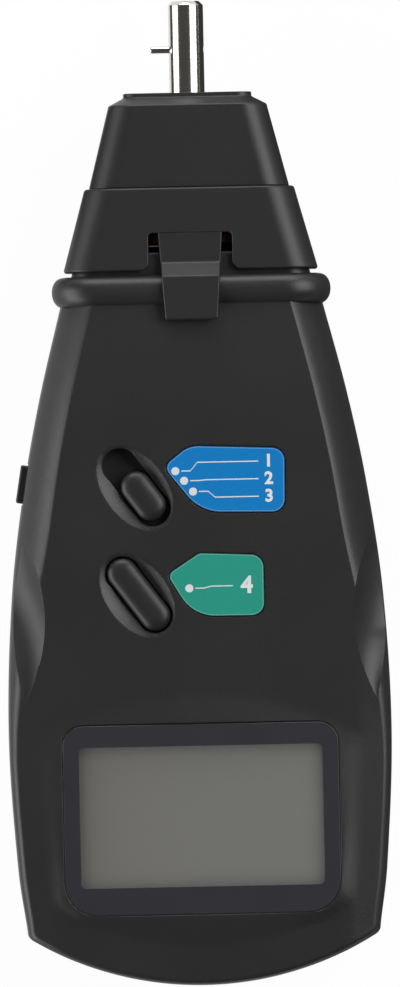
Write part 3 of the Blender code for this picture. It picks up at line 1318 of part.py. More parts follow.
def build_adapter_cap():
    cap = loft("adapter_cap", cap_sections(), BLACK_PLASTIC)
    end = CAP_TOP_Y - CAP_END_WALL
    cut(cap, cap_hollow(end))
    join(cap, lying("cap_boss", CAP_BOSS_RADIUS, 0, CAP_BOSS_LOW_Y, end + ROOT))
    for name, side in SIDES:
        x, low = side * ADAPTER_SCREW_X, SKIRT_TOP_Y + GAP
        boss = lying(f"cap_screw_boss_{name}", ADAPTER_SCREW_BOSS, x, low, end + ROOT, segments=SMALL_ROUND)
        join(cap, boss)
    bore_end = CAP_TOP_Y - CAP_FRONT_LIP
    cut(cap, lying("cap_bore", CAP_BORE, 0, CAP_BOSS_LOW_Y - PAST, bore_end))
    cut(cap, lying("cap_mouth", BUSH_BORE, 0, bore_end - PAST, CAP_TOP_Y + PAST))
    for name, side in SIDES:
        x, tip = side * ADAPTER_SCREW_X, SKIRT_TOP_Y + ADAPTER_SCREW_LENGTH
        pilot_radius = ADAPTER_SCREW_RADIUS + GAP
        cut(cap, lying(f"cap_pilot_{name}", pilot_radius, x, SKIRT_TOP_Y, tip + GAP, segments=SMALL_ROUND))
    return cap


def build_adapter_screws():
    """Two screws from inside the skirt hold the cap on it."""
    screws = []
    for i, (_, side) in enumerate(SIDES, 1):
        x, top = side * ADAPTER_SCREW_X, SKIRT_TOP_Y - SKIRT_PLATE - GAP
        low, tip = top - ADAPTER_SCREW_HEAD, SKIRT_TOP_Y + ADAPTER_SCREW_LENGTH
        screw = lying(f"adapter_screw_{i}", 2 * ADAPTER_SCREW_RADIUS, x, low, top, STEEL, SMALL_ROUND)
        join(screw, lying(f"adapter_shank_{i}", ADAPTER_SCREW_RADIUS, x, top - ROOT, tip, segments=8))
        screws.append(screw)
    return screws


def build_bushes():
    bushes = []
    top = CAP_TOP_Y - CAP_FRONT_LIP - GAP
    for name, start in (("front_bush", top - BUSH_LENGTH), ("rear_bush", CAP_BOSS_LOW_Y)):
        profile = ring_profile(BUSH_BORE, BUSH_RADIUS, start, start + BUSH_LENGTH)
        bushes.append(turned(name, profile, (0, 0, AXIS_Z), BRONZE))
    return bushes


def build_spindle():
    """The spindle carries its cross pin outside, and a ring and the reflector disc inside the adapter."""
    radius, end = SPINDLE_RADIUS, SPINDLE_END_Y
    axis = (0, 0, AXIS_Z)
    socket_y = end - SPINDLE_SOCKET_DEPTH
    low = DISC_Y - GAP
    profile = (
        (0, socket_y),
        (SPINDLE_SOCKET_RADIUS, socket_y),
        (SPINDLE_SOCKET_RADIUS, end),
        (radius - SPINDLE_CHAMFER, end),
        (radius, end - SPINDLE_CHAMFER),
        (radius, low),
        (0, low),
    )
    spindle = turned("spindle", profile, axis, NICKEL)
    hole_start, hole_end = (-radius - PAST, PIN_Y, AXIS_Z), (radius + PAST, PIN_Y, AXIS_Z)
    cut(spindle, rod("pin_hole", PIN_RADIUS + GAP, hole_start, hole_end, segments=SMALL_ROUND))
    pin_start, pin_end = (radius - GAP, PIN_Y, AXIS_Z), (-PIN_REACH, PIN_Y, AXIS_Z)
    pin = rod("drive_pin", PIN_RADIUS, pin_start, pin_end, NICKEL, segments=SMALL_ROUND)
    soften(pin, PIN_EDGE, 2)
    disc_profile = ring_profile(BUSH_BORE, DISC_RADIUS, DISC_Y, DISC_Y + DISC_THICKNESS)
    disc = turned("reflector_disc", disc_profile, axis, BRASS, 32)
    mark_y, half = DISC_Y - GAP, MARK_WIDTH / 2
    low_corner = (MARK_OUTSIDE - DISC_RADIUS, mark_y - MARK_THICKNESS, AXIS_Z - half)
    high_corner = (-SPINDLE_RADIUS - MARK_INSIDE, mark_y, AXIS_Z + half)
    mark = box("reflective_mark", low_corner, high_corner, MARK_SILVER)
    ring_y = SKIRT_TOP_Y + SPIGOT_HEIGHT
    ring = ring_profile(BUSH_BORE, COLLAR_RING_RADIUS, ring_y - COLLAR_RING_THICKNESS, ring_y)
    collar = turned("spindle_collar", ring, axis, STEEL)
    carry(spindle, pin, disc, mark, collar)
    return spindle


build_front_housing()
build_rear_housing()
build_battery_cover()
build_display()
build_board()
build_mode_slider()
build_memory_key()
build_measure_key()
build_labels()
build_optics()
build_battery()
build_housing_screws()
carry(build_adapter_skirt(), build_adapter_cap(), *build_adapter_screws(), *build_bushes(), build_spindle())
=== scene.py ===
from functools import partial
from math import acos, atan2, cos, degrees, hypot, pi, radians, sin, sqrt

import bmesh
import bpy
from mathutils import Matrix, Vector


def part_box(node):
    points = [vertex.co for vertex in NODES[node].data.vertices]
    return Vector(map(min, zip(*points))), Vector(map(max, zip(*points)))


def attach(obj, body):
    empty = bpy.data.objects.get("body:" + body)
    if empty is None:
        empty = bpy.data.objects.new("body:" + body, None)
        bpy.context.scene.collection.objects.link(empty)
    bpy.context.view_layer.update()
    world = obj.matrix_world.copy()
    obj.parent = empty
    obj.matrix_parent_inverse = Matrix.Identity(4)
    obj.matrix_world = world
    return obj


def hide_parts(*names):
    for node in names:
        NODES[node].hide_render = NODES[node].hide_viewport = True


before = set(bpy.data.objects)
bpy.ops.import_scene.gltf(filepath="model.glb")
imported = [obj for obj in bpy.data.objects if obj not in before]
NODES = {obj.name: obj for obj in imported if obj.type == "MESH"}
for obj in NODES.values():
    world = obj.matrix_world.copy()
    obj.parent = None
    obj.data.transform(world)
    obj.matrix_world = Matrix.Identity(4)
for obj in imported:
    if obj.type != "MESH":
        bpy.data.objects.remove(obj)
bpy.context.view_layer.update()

# Front housing: the upper half shell of the case, moulded in black plastic with a fine eroded
# texture. It carries half of the collar and nose, the raised field round the window, the slots and
# finger hollows of both keys, and the pockets that the labels lie in. Four screws hold it down.
MM = 0.001
GAP = 0.3
ROOT = 0.6
PAST = 4.0
FAR = 200.0
CASE_WALL = 2.0
SEAM = 0.03
SEAM_ROUND = 0.3
RIM_ROUND = 0.28
EDGE_STEPS = 6

AXIS_Z = sum(corner.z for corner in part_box("spindle")) / 2 / MM
FACE_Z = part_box("mode_label")[1].z / MM - 0.1
NECK_Y = 38.0
FLANK = (
    (-87.0, 35.3), (-75.0, 36.9), (-48.0, 38.3), (-20.0, 37.1), (2.0, 34.2), (20.0, 30.65), (NECK_Y, 26.15)
)
CASE_END_Y = -98.35
CASE_END_RADIUS = 66.6
CASE_END_CENTRE = CASE_END_Y + CASE_END_RADIUS
CASE_CORNER_RADIUS = 1.8
TAPER_START_Y = 10.0
FACE_DROP = 1.4
BACK_RISE = 2.8
SIDE_DRAFT = 0.3
FRONT_ROUND = ((-98, 1.6, 1.5, 1.0), (-80, 1.9, 2.0, 1.0), (-55, 1.9, 2.0, 1.0), (-5, 6.6, 8.2, 1.5))
BACK_ROUND = (7.5, 0.45, 1.0)
INNER_FACE_Z = FACE_Z - CASE_WALL

COLLAR_RADIUS = 3.05
COLLAR_HALF_WIDTH = 24.8
COLLAR_HALF_DEPTH = FACE_Z - FACE_DROP - AXIS_Z - 1.75
COLLAR_CORNER = 6.0
NOSE_END_Y = 48.2
NOSE_WINDOW = (15.0, 5.5)
NOSE_SEAT_DEPTH = 1.8
NOSE_RIM = 1.2

FIELD_RISE = 0.8
FIELD_FROM = 0.7
FIELD_HALF_WIDTH = 28.0
FIELD_LOW_Y = -84.3
FIELD_TOP_CENTRE = -102.2
FIELD_TOP_RADIUS = 62.0
FIELD_TOP_SLOPE = 5.0
FIELD_CORNER = 6.0
FIELD_FOOT_INSET = 6.4
FIELD_FOOT_CENTRE = -32.0
FIELD_FOOT_RADIUS = 58.2
MARGIN_FALL = 0.95
MARGIN_Y = (-97.0, -52.0)

KEY_ANGLE = degrees(atan2(-8.6, 6.4))
MODE_SLOT = ((-11.7, 1.4), 17.7, 7.0)
MEMORY_SLOT = ((-11.65, -20.0), 17.4, 6.8)
KEY_PAD_Z = INNER_FACE_Z - 1.4
SCOOP_HALF_WIDTH = 6.15
SCOOP_DEPTH = 1.7
SCOOP_SHIFT = 0.3
SCOOP_END_MARGIN = 0.9
SCOOP_RADIUS = (SCOOP_HALF_WIDTH**2 + SCOOP_DEPTH**2) / (2 * SCOOP_DEPTH)
SCOOP_LIP = 0.14
SCOOP_LIP_SLOPE = 16

GRIP_TIPS = ((34.8, -41.5), (34.5, -8.4))
GRIP_INNER_X = 30.45
GRIP_OUTER_X = 36.8
GRIP_SAG = 0.07
GRIP_RIGHT_SHIFT = 0.6

SIDE_KEY_Y = 2.35
SIDE_KEY_HALF = (3.85, 3.2)
BOARD_TOP_Z = 20.8
BOARD_SCREWS = ((-19.0, -8.0), (19.0, -8.0), (2.0, 14.0))
POST_RADIUS = 2.8
POST_HOLE_RADIUS = 1.3
HOUSING_SCREWS = ((9.8, 26.0), (9.4, -13.0))
BOSS_RADIUS = 3.5
SCREW_HOLE_RADIUS = 1.6
SCREW_HOLE_END = 17.8


def to_object(name, bm):
    """Makes an object of a mesh that was drawn in millimetres."""
    bmesh.ops.recalc_face_normals(bm, faces=bm.faces)
    bmesh.ops.scale(bm, vec=Vector((MM, MM, MM)), verts=bm.verts)
    mesh = bpy.data.meshes.new(name)
    bm.to_mesh(mesh)
    bm.free()
    item = bpy.data.objects.new(name, mesh)
    bpy.context.scene.collection.objects.link(item)
    return item


def skin(name, rings):
    """A skin over rings with the same number of points, with both ends closed."""
    bm = bmesh.new()
    drawn = [[bm.verts.new(point) for point in ring] for ring in rings]
    for first, second in zip(drawn, drawn[1:]):
        for i in range(len(first)):
            j = (i + 1) % len(first)
            bm.faces.new((first[i], first[j], second[j], second[i]))
    bm.faces.new(drawn[0])
    bm.faces.new(drawn[-1])
    bmesh.ops.remove_doubles(bm, verts=bm.verts, dist=0.0001)
    return to_object(name, bm)


def arc(centre, radius, start, end, steps):
    angles = [radians(start + (end - start) * i / steps) for i in range(steps + 1)]
    return [(centre[0] + radius * cos(a), centre[1] + radius * sin(a)) for a in angles]


def circle(centre, radius, steps=32):
    return arc(centre, radius, 0, 360, steps)[:-1]


def quarter(steps=EDGE_STEPS):
    """The angles of a quarter turn, for a rounded edge."""
    return [pi / 2 * k / steps for k in range(steps + 1)]


def prism(name, outline, low, high):
    return skin(name, [[(x, y, z) for x, y in outline] for z in (low, high)])


def barrel(name, radius, x, low, high, steps=48):
    """A cylinder that lies along Y at the height of the spindle."""
    ring = circle((x, AXIS_Z), radius, steps)
    return skin(name, [[(px, y, pz) for px, pz in ring] for y in (low, high)])


def block(name, low, high):
    corners = ((low[0], low[1]), (high[0], low[1]), (high[0], high[1]), (low[0], high[1]))
    return prism(name, corners, low[2], high[2])


def pill(length, width, steps=24):
    reach = (length - width) / 2
    return arc((reach, 0), width / 2, -90, 90, steps) + arc((-reach, 0), width / 2, 90, 270, steps)


def slanted(outline, centre):
    """An outline turned to the keys' direction and moved to its place on the face."""
    across, along = sin(radians(KEY_ANGLE)), cos(radians(KEY_ANGLE))
    return [(centre[0] + x * along - y * across, centre[1] + x * across + y * along) for x, y in outline]


def rounded(corners, steps=10):
    """A closed outline with each corner (x, y, radius) rounded by an arc."""
    points = []
    for i, (x, y, radius) in enumerate(corners):
        here = Vector((x, y))
        back = (Vector(corners[i - 1][:2]) - here).normalized()
        ahead = (Vector(corners[(i + 1) % len(corners)][:2]) - here).normalized()
        half = back.angle(ahead) / 2
        centre = here + (back + ahead).normalized() * radius / sin(half)
        first = here + back * radius * cos(half) / sin(half) - centre
        last = here + ahead * radius * cos(half) / sin(half) - centre
        sweep = first.angle_signed(last)
        points += [tuple(centre + Matrix.Rotation(-sweep * k / steps, 2) @ first) for k in range(steps + 1)]
    return points


def rounded_box(half_width, half_height, corner, steps=10):
    corners = ((1, -1), (1, 1), (-1, 1), (-1, -1))
    return rounded([(half_width * i, half_height * j, corner) for i, j in corners], steps)


def spread(outline, distance):
    """A convex outline moved out by a distance."""
    moved = []
    for i, (x, y) in enumerate(outline):
        (x0, y0), (x1, y1) = outline[i - 1], outline[(i + 1) % len(outline)]
        long = hypot(x1 - x0, y1 - y0)
        moved.append((x + distance * (y1 - y0) / long, y - distance * (x1 - x0) / long))
    return moved


def opening(name, outline, surface, low, rim=RIM_ROUND, way=1):
    """A cutter that flares where it meets a surface, so that it leaves a rounded rim."""
    rings = [[(x, y, low) for x, y in outline]]
    for angle in quarter():
        ring = spread(outline, rim * (1 - cos(angle)))
        rings.append([(x, y, surface(x, y) + way * (0.006 - rim * (1 - sin(angle)))) for x, y in ring])
    rings.append([(x, y, z + way * PAST) for x, y, z in rings[-1]])
    return skin(name, rings)


def shaped(base, *steps):
    """Joins and cuts a form with others, one after another, and keeps only the result."""
    for operation, tools in steps:
        for tool in tools:
            boolean = base.modifiers.new(tool.name, "BOOLEAN")
            boolean.operation = operation
            boolean.object = tool
            boolean.solver = "MANIFOLD"
    graph = bpy.context.evaluated_depsgraph_get()
    mesh = bpy.data.meshes.new_from_object(base.evaluated_get(graph))
    base.modifiers.clear()
    base.data = mesh
    for _, tools in steps:
        for tool in tools:
            bpy.data.objects.remove(tool, do_unlink=True)
    return base


def flank(y):
    """Half width of the case at one place along it, on a smooth curve through its stations."""
    last = len(FLANK) - 1
    slopes = []
    for i in range(last + 1):
        (y0, w0), (y1, w1) = FLANK[max(i - 1, 0)], FLANK[min(i + 1, last)]
        slopes.append((w1 - w0) / (y1 - y0))
    i = max(k for k in range(last) if k == 0 or y >= FLANK[k][0])
    (y0, w0), (y1, w1) = FLANK[i], FLANK[i + 1]
    step = y1 - y0
    t = (y - y0) / step
    near = (1 + 2 * t) * (1 - t) ** 2 * w0 + t * (1 - t) ** 2 * step * slopes[i]
    return near + t * t * (3 - 2 * t) * w1 - t * t * (1 - t) * step * slopes[i + 1]


def half_outline(inset_at, sides, corners, ends):
    """The right half of the case outline, drawn in by an inset: from the low end up to the neck."""
    inset = inset_at(CASE_END_Y)
    reach = CASE_END_RADIUS - inset
    radius = CASE_CORNER_RADIUS + 0.4 * inset
    x = flank(FLANK[0][0]) - inset - radius
    y = CASE_END_CENTRE - sqrt((reach - radius) ** 2 - x * x)
    turn = degrees(atan2(y - CASE_END_CENTRE, x))
    points = arc((0, CASE_END_CENTRE), reach, -90, turn, ends)
    points += arc((x, y), radius, turn, 0, corners)[1:]
    for i in range(1, sides + 1):
        height = y + (NECK_Y - y) * i / sides
        points.append((flank(max(height, FLANK[0][0])) - inset_at(height), height))
    return points


def taper(y):
    return max(0.0, (y - TAPER_START_Y) / (NECK_Y - TAPER_START_Y)) ** 2


def face_height(y, wall=0.0):
    return FACE_Z - wall - FACE_DROP * taper(y)


def back_height(y, wall=0.0):
    return wall + BACK_RISE * taper(y)


def ease(t):
    t = min(max(t, 0.0), 1.0)
    return t * t * (3 - 2 * t)


def field_rise(x, y):
    """How far the raised field stands over the face, and how far the margins beside it slope off."""
    margin = abs(x) - flank(min(max(y, FLANK[0][0]), NECK_Y)) + FIELD_FOOT_INSET
    if margin > 0:
        share = ease((y - MARGIN_Y[0]) / 10) * (1 - ease((y - MARGIN_Y[1]) / 24))
        return -MARGIN_FALL * share * margin / FIELD_FOOT_INSET
    corner_x = abs(x) - FIELD_HALF_WIDTH + FIELD_CORNER
    corner_y = FIELD_LOW_Y + FIELD_CORNER - y
    outside = hypot(max(corner_x, 0), max(corner_y, 0)) + min(max(corner_x, corner_y), 0) - FIELD_CORNER
    from_top = hypot(x, y - FIELD_TOP_CENTRE) - FIELD_TOP_RADIUS
    from_top_edge = max(outside, from_top + FIELD_TOP_SLOPE)
    from_foot = -max(margin, from_top, hypot(x, y - FIELD_FOOT_CENTRE) - FIELD_FOOT_RADIUS)
    if from_foot <= 0:
        return 0.0
    if from_top_edge <= 0:
        return FIELD_RISE
    return FIELD_RISE * from_foot / (from_top_edge + from_foot)


def front_round(y):
    """Width of the front edge's round, the depth share where it starts, and how straight it is."""
    for (low, *near), (top, *far) in zip(FRONT_ROUND, FRONT_ROUND[1:]):
        t = ease((y - low) / (top - low))
        width, depth, straight = (a + (b - a) * t for a, b in zip(near, far))
        if y < top:
            break
    return width, 1 - depth / (FACE_Z - AXIS_Z), straight


def back_round(_):
    return BACK_ROUND


def case_height(x, y):
    """Height of the front surface of the case over one place."""
    width, start, straight = front_round(y)
    side = flank(min(max(y, FLANK[0][0]), NECK_Y)) - abs(x)
    inset = min(side, CASE_END_RADIUS - hypot(x, y - CASE_END_CENTRE))
    turn = acos(max(1 - max(inset - SIDE_DRAFT, 0) / (width - SIDE_DRAFT), 0.0) ** (1 / straight))
    share = start + (1 - start) * sin(turn) ** straight
    return AXIS_Z + (face_height(y) - AXIS_Z) * share + field_rise(x, y)


def seam_level(wall, turn, _):
    """Inset and depth share of one level of the fine groove along the parting plane."""
    groove = SEAM_ROUND if wall == 0 else 0.0
    return wall + groove * (1 - sin(turn)), groove * (1 - cos(turn)) / AXIS_Z


def edge_level(edge_round, wall, turn, y):
    """Inset and depth share of one level of a rounded edge, at one place along the case."""
    width, start, straight = edge_round(y)
    inset = wall + SIDE_DRAFT + (width - wall - SIDE_DRAFT) * (1 - abs(cos(turn)) ** straight)
    return inset, start + (1 - start) * sin(turn) ** straight


def edge_levels(edge_round, wall, steps):
    """The levels from the parting plane to a face."""
    seam = [partial(seam_level, wall, turn) for turn in quarter(4)]
    return seam + [partial(edge_level, edge_round, wall, turn) for turn in quarter(steps)]


def fill_side(bm, ring, height_at, columns):
    """Fills a ring with rows of faces, from the neck to the low end, and gives the points at the neck."""
    last = len(ring) - 1
    rows = []
    for i in range(last // 2):
        left, right = ring[i], ring[last - i]
        y = left.co.y
        row = [left]
        for k in range(1, columns):
            x = left.co.x + (right.co.x - left.co.x) * k / columns
            row.append(bm.verts.new((x, y, height_at(x, y))))
        rows.append(row + [right])
    for first, second in zip(rows, rows[1:]):
        for k in range(columns):
            bm.faces.new((first[k], first[k + 1], second[k + 1], second[k]))
    for k in range(columns):
        bm.faces.new((rows[-1][k], rows[-1][k + 1], ring[last // 2]))
    return rows[0][1:-1]


def case_form(name, wall=0.0, steps=26, sides=110, columns=60, raised=True):
    """The case as one closed form, drawn in by a wall where it is the tool for the hollow."""
    levels = [(level, back_height) for level in reversed(edge_levels(back_round, wall, steps))]
    levels += [(level, face_height) for level in edge_levels(front_round, wall, steps)[1:]]
    bm = bmesh.new()
    rings = []
    for level, height in levels:
        right = half_outline(lambda y: level(y)[0], sides, 8, 24)
        outline = [(-x, y) for x, y in reversed(right[1:])] + right
        ring = []
        for x, y in outline:
            share = level(y)[1]
            z = AXIS_Z + (height(y, wall) - AXIS_Z) * share
            if raised and share > FIELD_FROM and height is face_height:
                z += field_rise(x, y)
            ring.append(bm.verts.new((x, y, z)))
        rings.append(ring)
    for first, second in zip(rings, rings[1:]):
        for i in range(len(first) - 1):
            bm.faces.new((first[i], first[i + 1], second[i + 1], second[i]))
    rise = field_rise if raised else lambda x, y: 0.0
    back_neck = fill_side(bm, rings[0], lambda x, y: back_height(y, wall), columns)
    front_neck = fill_side(bm, rings[-1], lambda x, y: face_height(y, wall) + rise(x, y), columns)
    left_edge = [ring[0] for ring in rings]
    right_edge = [ring[-1] for ring in reversed(rings)]
    bm.faces.new(left_edge + front_neck + right_edge + back_neck[::-1])
    return to_object(name, bm)


def cross_section(y, half_width, half_depth, corner, steps=12):
    """A rounded rectangle across the case at one place along it."""
    return [(x, y, AXIS_Z + z) for x, z in rounded_box(half_width, half_depth, corner, steps)]


def collar_form(name, steps=28):
    """A half round bead that runs all the way about the neck."""
    rings = []
    for i in range(steps + 1):
        turn = radians(-90 + 180 * i / steps)
        swell = COLLAR_RADIUS * max(cos(turn), 0.0) ** 0.7
        y = NECK_Y - ROOT + COLLAR_RADIUS * (1 + sin(turn))
        sizes = (size + swell for size in (COLLAR_HALF_WIDTH, COLLAR_HALF_DEPTH, COLLAR_CORNER))
        rings.append(cross_section(y, *sizes))
    return skin(name, rings)


SKIRT_LOW = (44.4, 25.45, 11.9)
SKIRT_TOP = (61.0, 20.9, 11.4)
SKIRT_CORNER = 6.2
ADAPTER_WALL = 1.5


def skirt_size(y):
    """Half width and half depth of the adapter skirt's outside at one place along it."""
    t = (y - SKIRT_LOW[0]) / (SKIRT_TOP[0] - SKIRT_LOW[0])
    return [low + (top - low) * t for low, top in zip(SKIRT_LOW[1:], SKIRT_TOP[1:])]


def skirt_section(y, inset=0.0):
    half_width, half_depth = skirt_size(y)
    return cross_section(y, half_width - inset, half_depth - inset, max(SKIRT_CORNER - inset, 1.2))


def nose_form(name):
    """The nose follows the inside of the adapter skirt, a running gap away from it."""
    fit = ADAPTER_WALL + GAP
    top = NOSE_END_Y
    stations = ((NECK_Y + COLLAR_RADIUS, 0), (top - 0.8, 0), (top - 0.2, 0.3), (top, 0.8))
    return skin(name, [skirt_section(y, fit + inset) for y, inset in stations])


def neck_hollow(name):
    fit = ADAPTER_WALL + GAP + CASE_WALL
    return skin(name, [skirt_section(y, fit) for y in (NECK_Y - PAST, NOSE_END_Y - CASE_WALL)])


def nose_openings(half):
    """The nose window's seat and the opening behind it, with a rim left all round."""
    tools = []
    steps = ("opening", -NOSE_RIM, PAST), ("seat", 0.15, NOSE_SEAT_DEPTH)
    for name, grow, depth in steps:
        wide, high = NOSE_WINDOW[0] + grow, NOSE_WINDOW[1] + grow
        corners = (-wide, NOSE_END_Y - depth, AXIS_Z - high), (wide, NOSE_END_Y + PAST, AXIS_Z + high)
        tools.append(block(f"nose_{name}_{half}", *corners))
    return tools


def ellipsoid(name, radii, at, angle=0.0):
    """An ellipsoid with its poles on its own Y axis, turned about Z."""
    bm = bmesh.new()
    bmesh.ops.create_uvsphere(bm, u_segments=128, v_segments=72, radius=1.0)
    turn = Matrix.Rotation(radians(angle), 4, "Z")
    scale = Matrix.Diagonal((*radii, 1.0))
    place = Matrix.Translation(at) @ turn @ scale @ Matrix.Rotation(pi / 2, 4, "X")
    bmesh.ops.transform(bm, matrix=place, verts=bm.verts)
    return to_object(name, bm)


def grip_hollow(name, side, grow=0.0, steps=40, across=14):
    """A leaf-shaped hollow with sharp tips along one edge of the face, cut by a row of shallow arcs."""
    (low_x, low_y), (top_x, top_y) = GRIP_TIPS
    shift = GRIP_RIGHT_SHIFT if side > 0 else 0.0
    rings = []
    for i in range(steps + 1):
        t = sin(pi / 2 * (2 * i / steps - 1))
        y = (low_y + top_y) / 2 + (top_y - low_y) / 2 * t
        middle = (low_x + top_x) / 2 + (top_x - low_x) / 2 * t
        swell = max(1 - t * t, 0.004)
        ends = []
        for widest in (GRIP_INNER_X, GRIP_OUTER_X):
            x = middle + (widest - (low_x + top_x) / 2) * swell + shift
            ends.append(Vector((x, case_height(x, y))))
        chord = ends[1] - ends[0]
        inward = Vector((chord.y, -chord.x)).normalized()
        points = [ends[0] + Vector((-grow, PAST))]
        for k in range(across + 1):
            share = k / across
            sag = 4 * share * (1 - share) * GRIP_SAG * chord.length
            spot = ends[0] + chord * share + inward * (sag + grow)
            points.append(spot - Vector((grow * (1 - share), 0)))
        points += [ends[1] + Vector((PAST, -grow)), ends[1] + Vector((PAST, PAST * 4))]
        rings.append([(side * point.x, y + grow * t, point.y) for point in points])
    return skin(name, rings)


def scoop_shape(slot):
    """Centre and half length of the finger hollow round one slot, shifted to its lower left side."""
    centre, length, _ = slot
    aside = slanted([(0, -SCOOP_SHIFT)], centre)[0]
    height = SCOOP_RADIUS - SCOOP_DEPTH
    reach = (length / 2 + SCOOP_END_MARGIN) / sqrt(1 - (height / SCOOP_RADIUS) ** 2)
    return aside, reach, FACE_Z + height


def scoop_tools(name, slot):
    """The hollow, and a wider and flatter one that takes the sharp edge off its rim."""
    centre, reach, z = scoop_shape(slot)
    hollow = ellipsoid(name, (SCOOP_RADIUS, reach, SCOOP_RADIUS), (*centre, z), KEY_ANGLE + 90)
    wide = SCOOP_HALF_WIDTH + SCOOP_LIP
    long = slot[1] / 2 + SCOOP_END_MARGIN + SCOOP_LIP
    slope = radians(SCOOP_LIP_SLOPE)
    radius = wide / sin(slope)
    lip = (radius, long / sin(slope), radius)
    z = FACE_Z + radius * cos(slope)
    return hollow, ellipsoid(name + "_lip", lip, (*centre, z), KEY_ANGLE + 90)


def hollowed_height(slot, x, y):
    """The height of the face with one finger hollow in it, for the rim of the slot."""
    (cx, cy), reach, cz = scoop_shape(slot)
    along, across = cos(radians(KEY_ANGLE)), sin(radians(KEY_ANGLE))
    u = ((x - cx) * along + (y - cy) * across) / reach
    v = ((y - cy) * along - (x - cx) * across) / SCOOP_RADIUS
    inside = max(1 - u * u - v * v, 0.0)
    return min(case_height(x, y), cz - SCOOP_RADIUS * sqrt(inside))


def side_key_place():
    """Where the side key meets the left flank, with local X pointing out of the case."""
    slope = (flank(SIDE_KEY_Y + 1) - flank(SIDE_KEY_Y - 1)) / 2
    turn = Matrix.Rotation(pi - atan2(-slope, 1), 4, "Z")
    return Matrix.Translation((-flank(SIDE_KEY_Y), SIDE_KEY_Y, AXIS_Z)) @ turn


def side_key_opening(name):
    long, high = SIDE_KEY_HALF[0] + GAP, SIDE_KEY_HALF[1] + GAP
    item = block(name, (-CASE_WALL - PAST, -long, -high), (PAST, long, high))
    place = side_key_place()
    place.translation *= MM
    item.data.transform(place)
    return item


def screw_places():
    return [(side * (flank(y) - inset), y) for inset, y in HOUSING_SCREWS for side in (-1, 1)]


WINDOW_HALF_WIDTH = 27.45
WINDOW_LOW = (-83.8, 6.6)
WINDOW_TOP = (-46.0, 4.0)
WINDOW_Z = FACE_Z + FIELD_RISE - 0.15
WINDOW_THICKNESS = 1.2
WINDOW_GAP = 0.14
VIEW = (24.3, -78.4, -50.3)


def window_outline():
    """Its ends are given by their place and the radius of their corners."""
    corners = ((1, *WINDOW_LOW), (1, *WINDOW_TOP), (-1, *WINDOW_TOP), (-1, *WINDOW_LOW))
    return rounded([(side * WINDOW_HALF_WIDTH, y, radius) for side, y, radius in corners])


def view_outline(grow, corner):
    half, low, top = VIEW[0] + grow, VIEW[1] - grow, VIEW[2] + grow
    return rounded([(half, low, corner), (half, top, corner), (-half, top, corner), (-half, low, corner)])


MODE_LABEL = rounded(
    [(-6.34, 5.38, 1.8), (0.9, -3.85, 9.0), (17.85, -4.15, 2.6), (18.0, 8.7, 2.6), (-1.1, 9.5, 5.5)]
)
MEMORY_LABEL = rounded(
    [(-6.03, -16.15, 1.5), (-0.9, -24.6, 8.0), (13.35, -24.65, 2.6), (13.35, -12.5, 2.6), (0.5, -11.9, 1.8)]
)
LABEL_GAP = 0.12
POCKET_Z = FACE_Z - 0.6


def front_housing():
    collar, nose = collar_form("collar"), nose_form("nose")
    hollow = case_form("hollow", CASE_WALL, steps=6, sides=24, columns=1, raised=False)
    shaped(hollow, ("DIFFERENCE", [grip_hollow(f"grip_wall_{side}", side, CASE_WALL) for side in (-1, 1)]))
    below = block("below", (-FAR, -FAR, -FAR), (FAR, FAR, AXIS_Z + SEAM / 2))
    joined, cuts = [], []
    for i, (centre, length, width) in enumerate((MODE_SLOT, MEMORY_SLOT)):
        pad = slanted(pill(length + 4.0, width + 6.0), centre)
        joined.append(prism(f"pad_{i}", pad, KEY_PAD_Z, INNER_FACE_Z + ROOT))
    for i, place in enumerate(screw_places()):
        joined.append(prism(f"boss_{i}", circle(place, BOSS_RADIUS), AXIS_Z + SEAM, INNER_FACE_Z + 0.1))
        hole = circle(place, SCREW_HOLE_RADIUS)
        cuts.append(prism(f"pilot_{i}", hole, 0, SCREW_HOLE_END + back_height(place[1])))
    for i, place in enumerate(BOARD_SCREWS):
        joined.append(prism(f"post_{i}", circle(place, POST_RADIUS), BOARD_TOP_Z + GAP, INNER_FACE_Z + ROOT))
        hole = circle(place, POST_HOLE_RADIUS)
        cuts.append(prism(f"post_pilot_{i}", hole, BOARD_TOP_Z - 1.6, BOARD_TOP_Z + 3.7))
    cuts += [grip_hollow(f"grip_{side}", side) for side in (-1, 1)]
    for i, slot in enumerate((MODE_SLOT, MEMORY_SLOT)):
        cuts += scoop_tools(f"scoop_{i}", slot)
        outline = slanted(pill(slot[1], slot[2]), slot[0])
        cuts.append(opening(f"slot_{i}", outline, partial(hollowed_height, slot), KEY_PAD_Z - PAST))
    recess = spread(window_outline(), WINDOW_GAP)
    cuts.append(opening("recess", recess, case_height, WINDOW_Z - WINDOW_THICKNESS - GAP, 0.2))
    cuts.append(prism("view", view_outline(1.0, 2.0), INNER_FACE_Z - PAST, WINDOW_Z))
    for i, outline in enumerate((MODE_LABEL, MEMORY_LABEL)):
        cuts.append(opening(f"pocket_{i}", spread(outline, LABEL_GAP), case_height, POCKET_Z, 0.16))
    cuts += [side_key_opening("side_opening"), *nose_openings("front")]
    return shaped(
        case_form("front_shell"),
        ("UNION", [collar, nose]),
        ("DIFFERENCE", [hollow, neck_hollow("neck_hollow"), below]),
        ("UNION", joined),
        ("DIFFERENCE", cuts),
    )


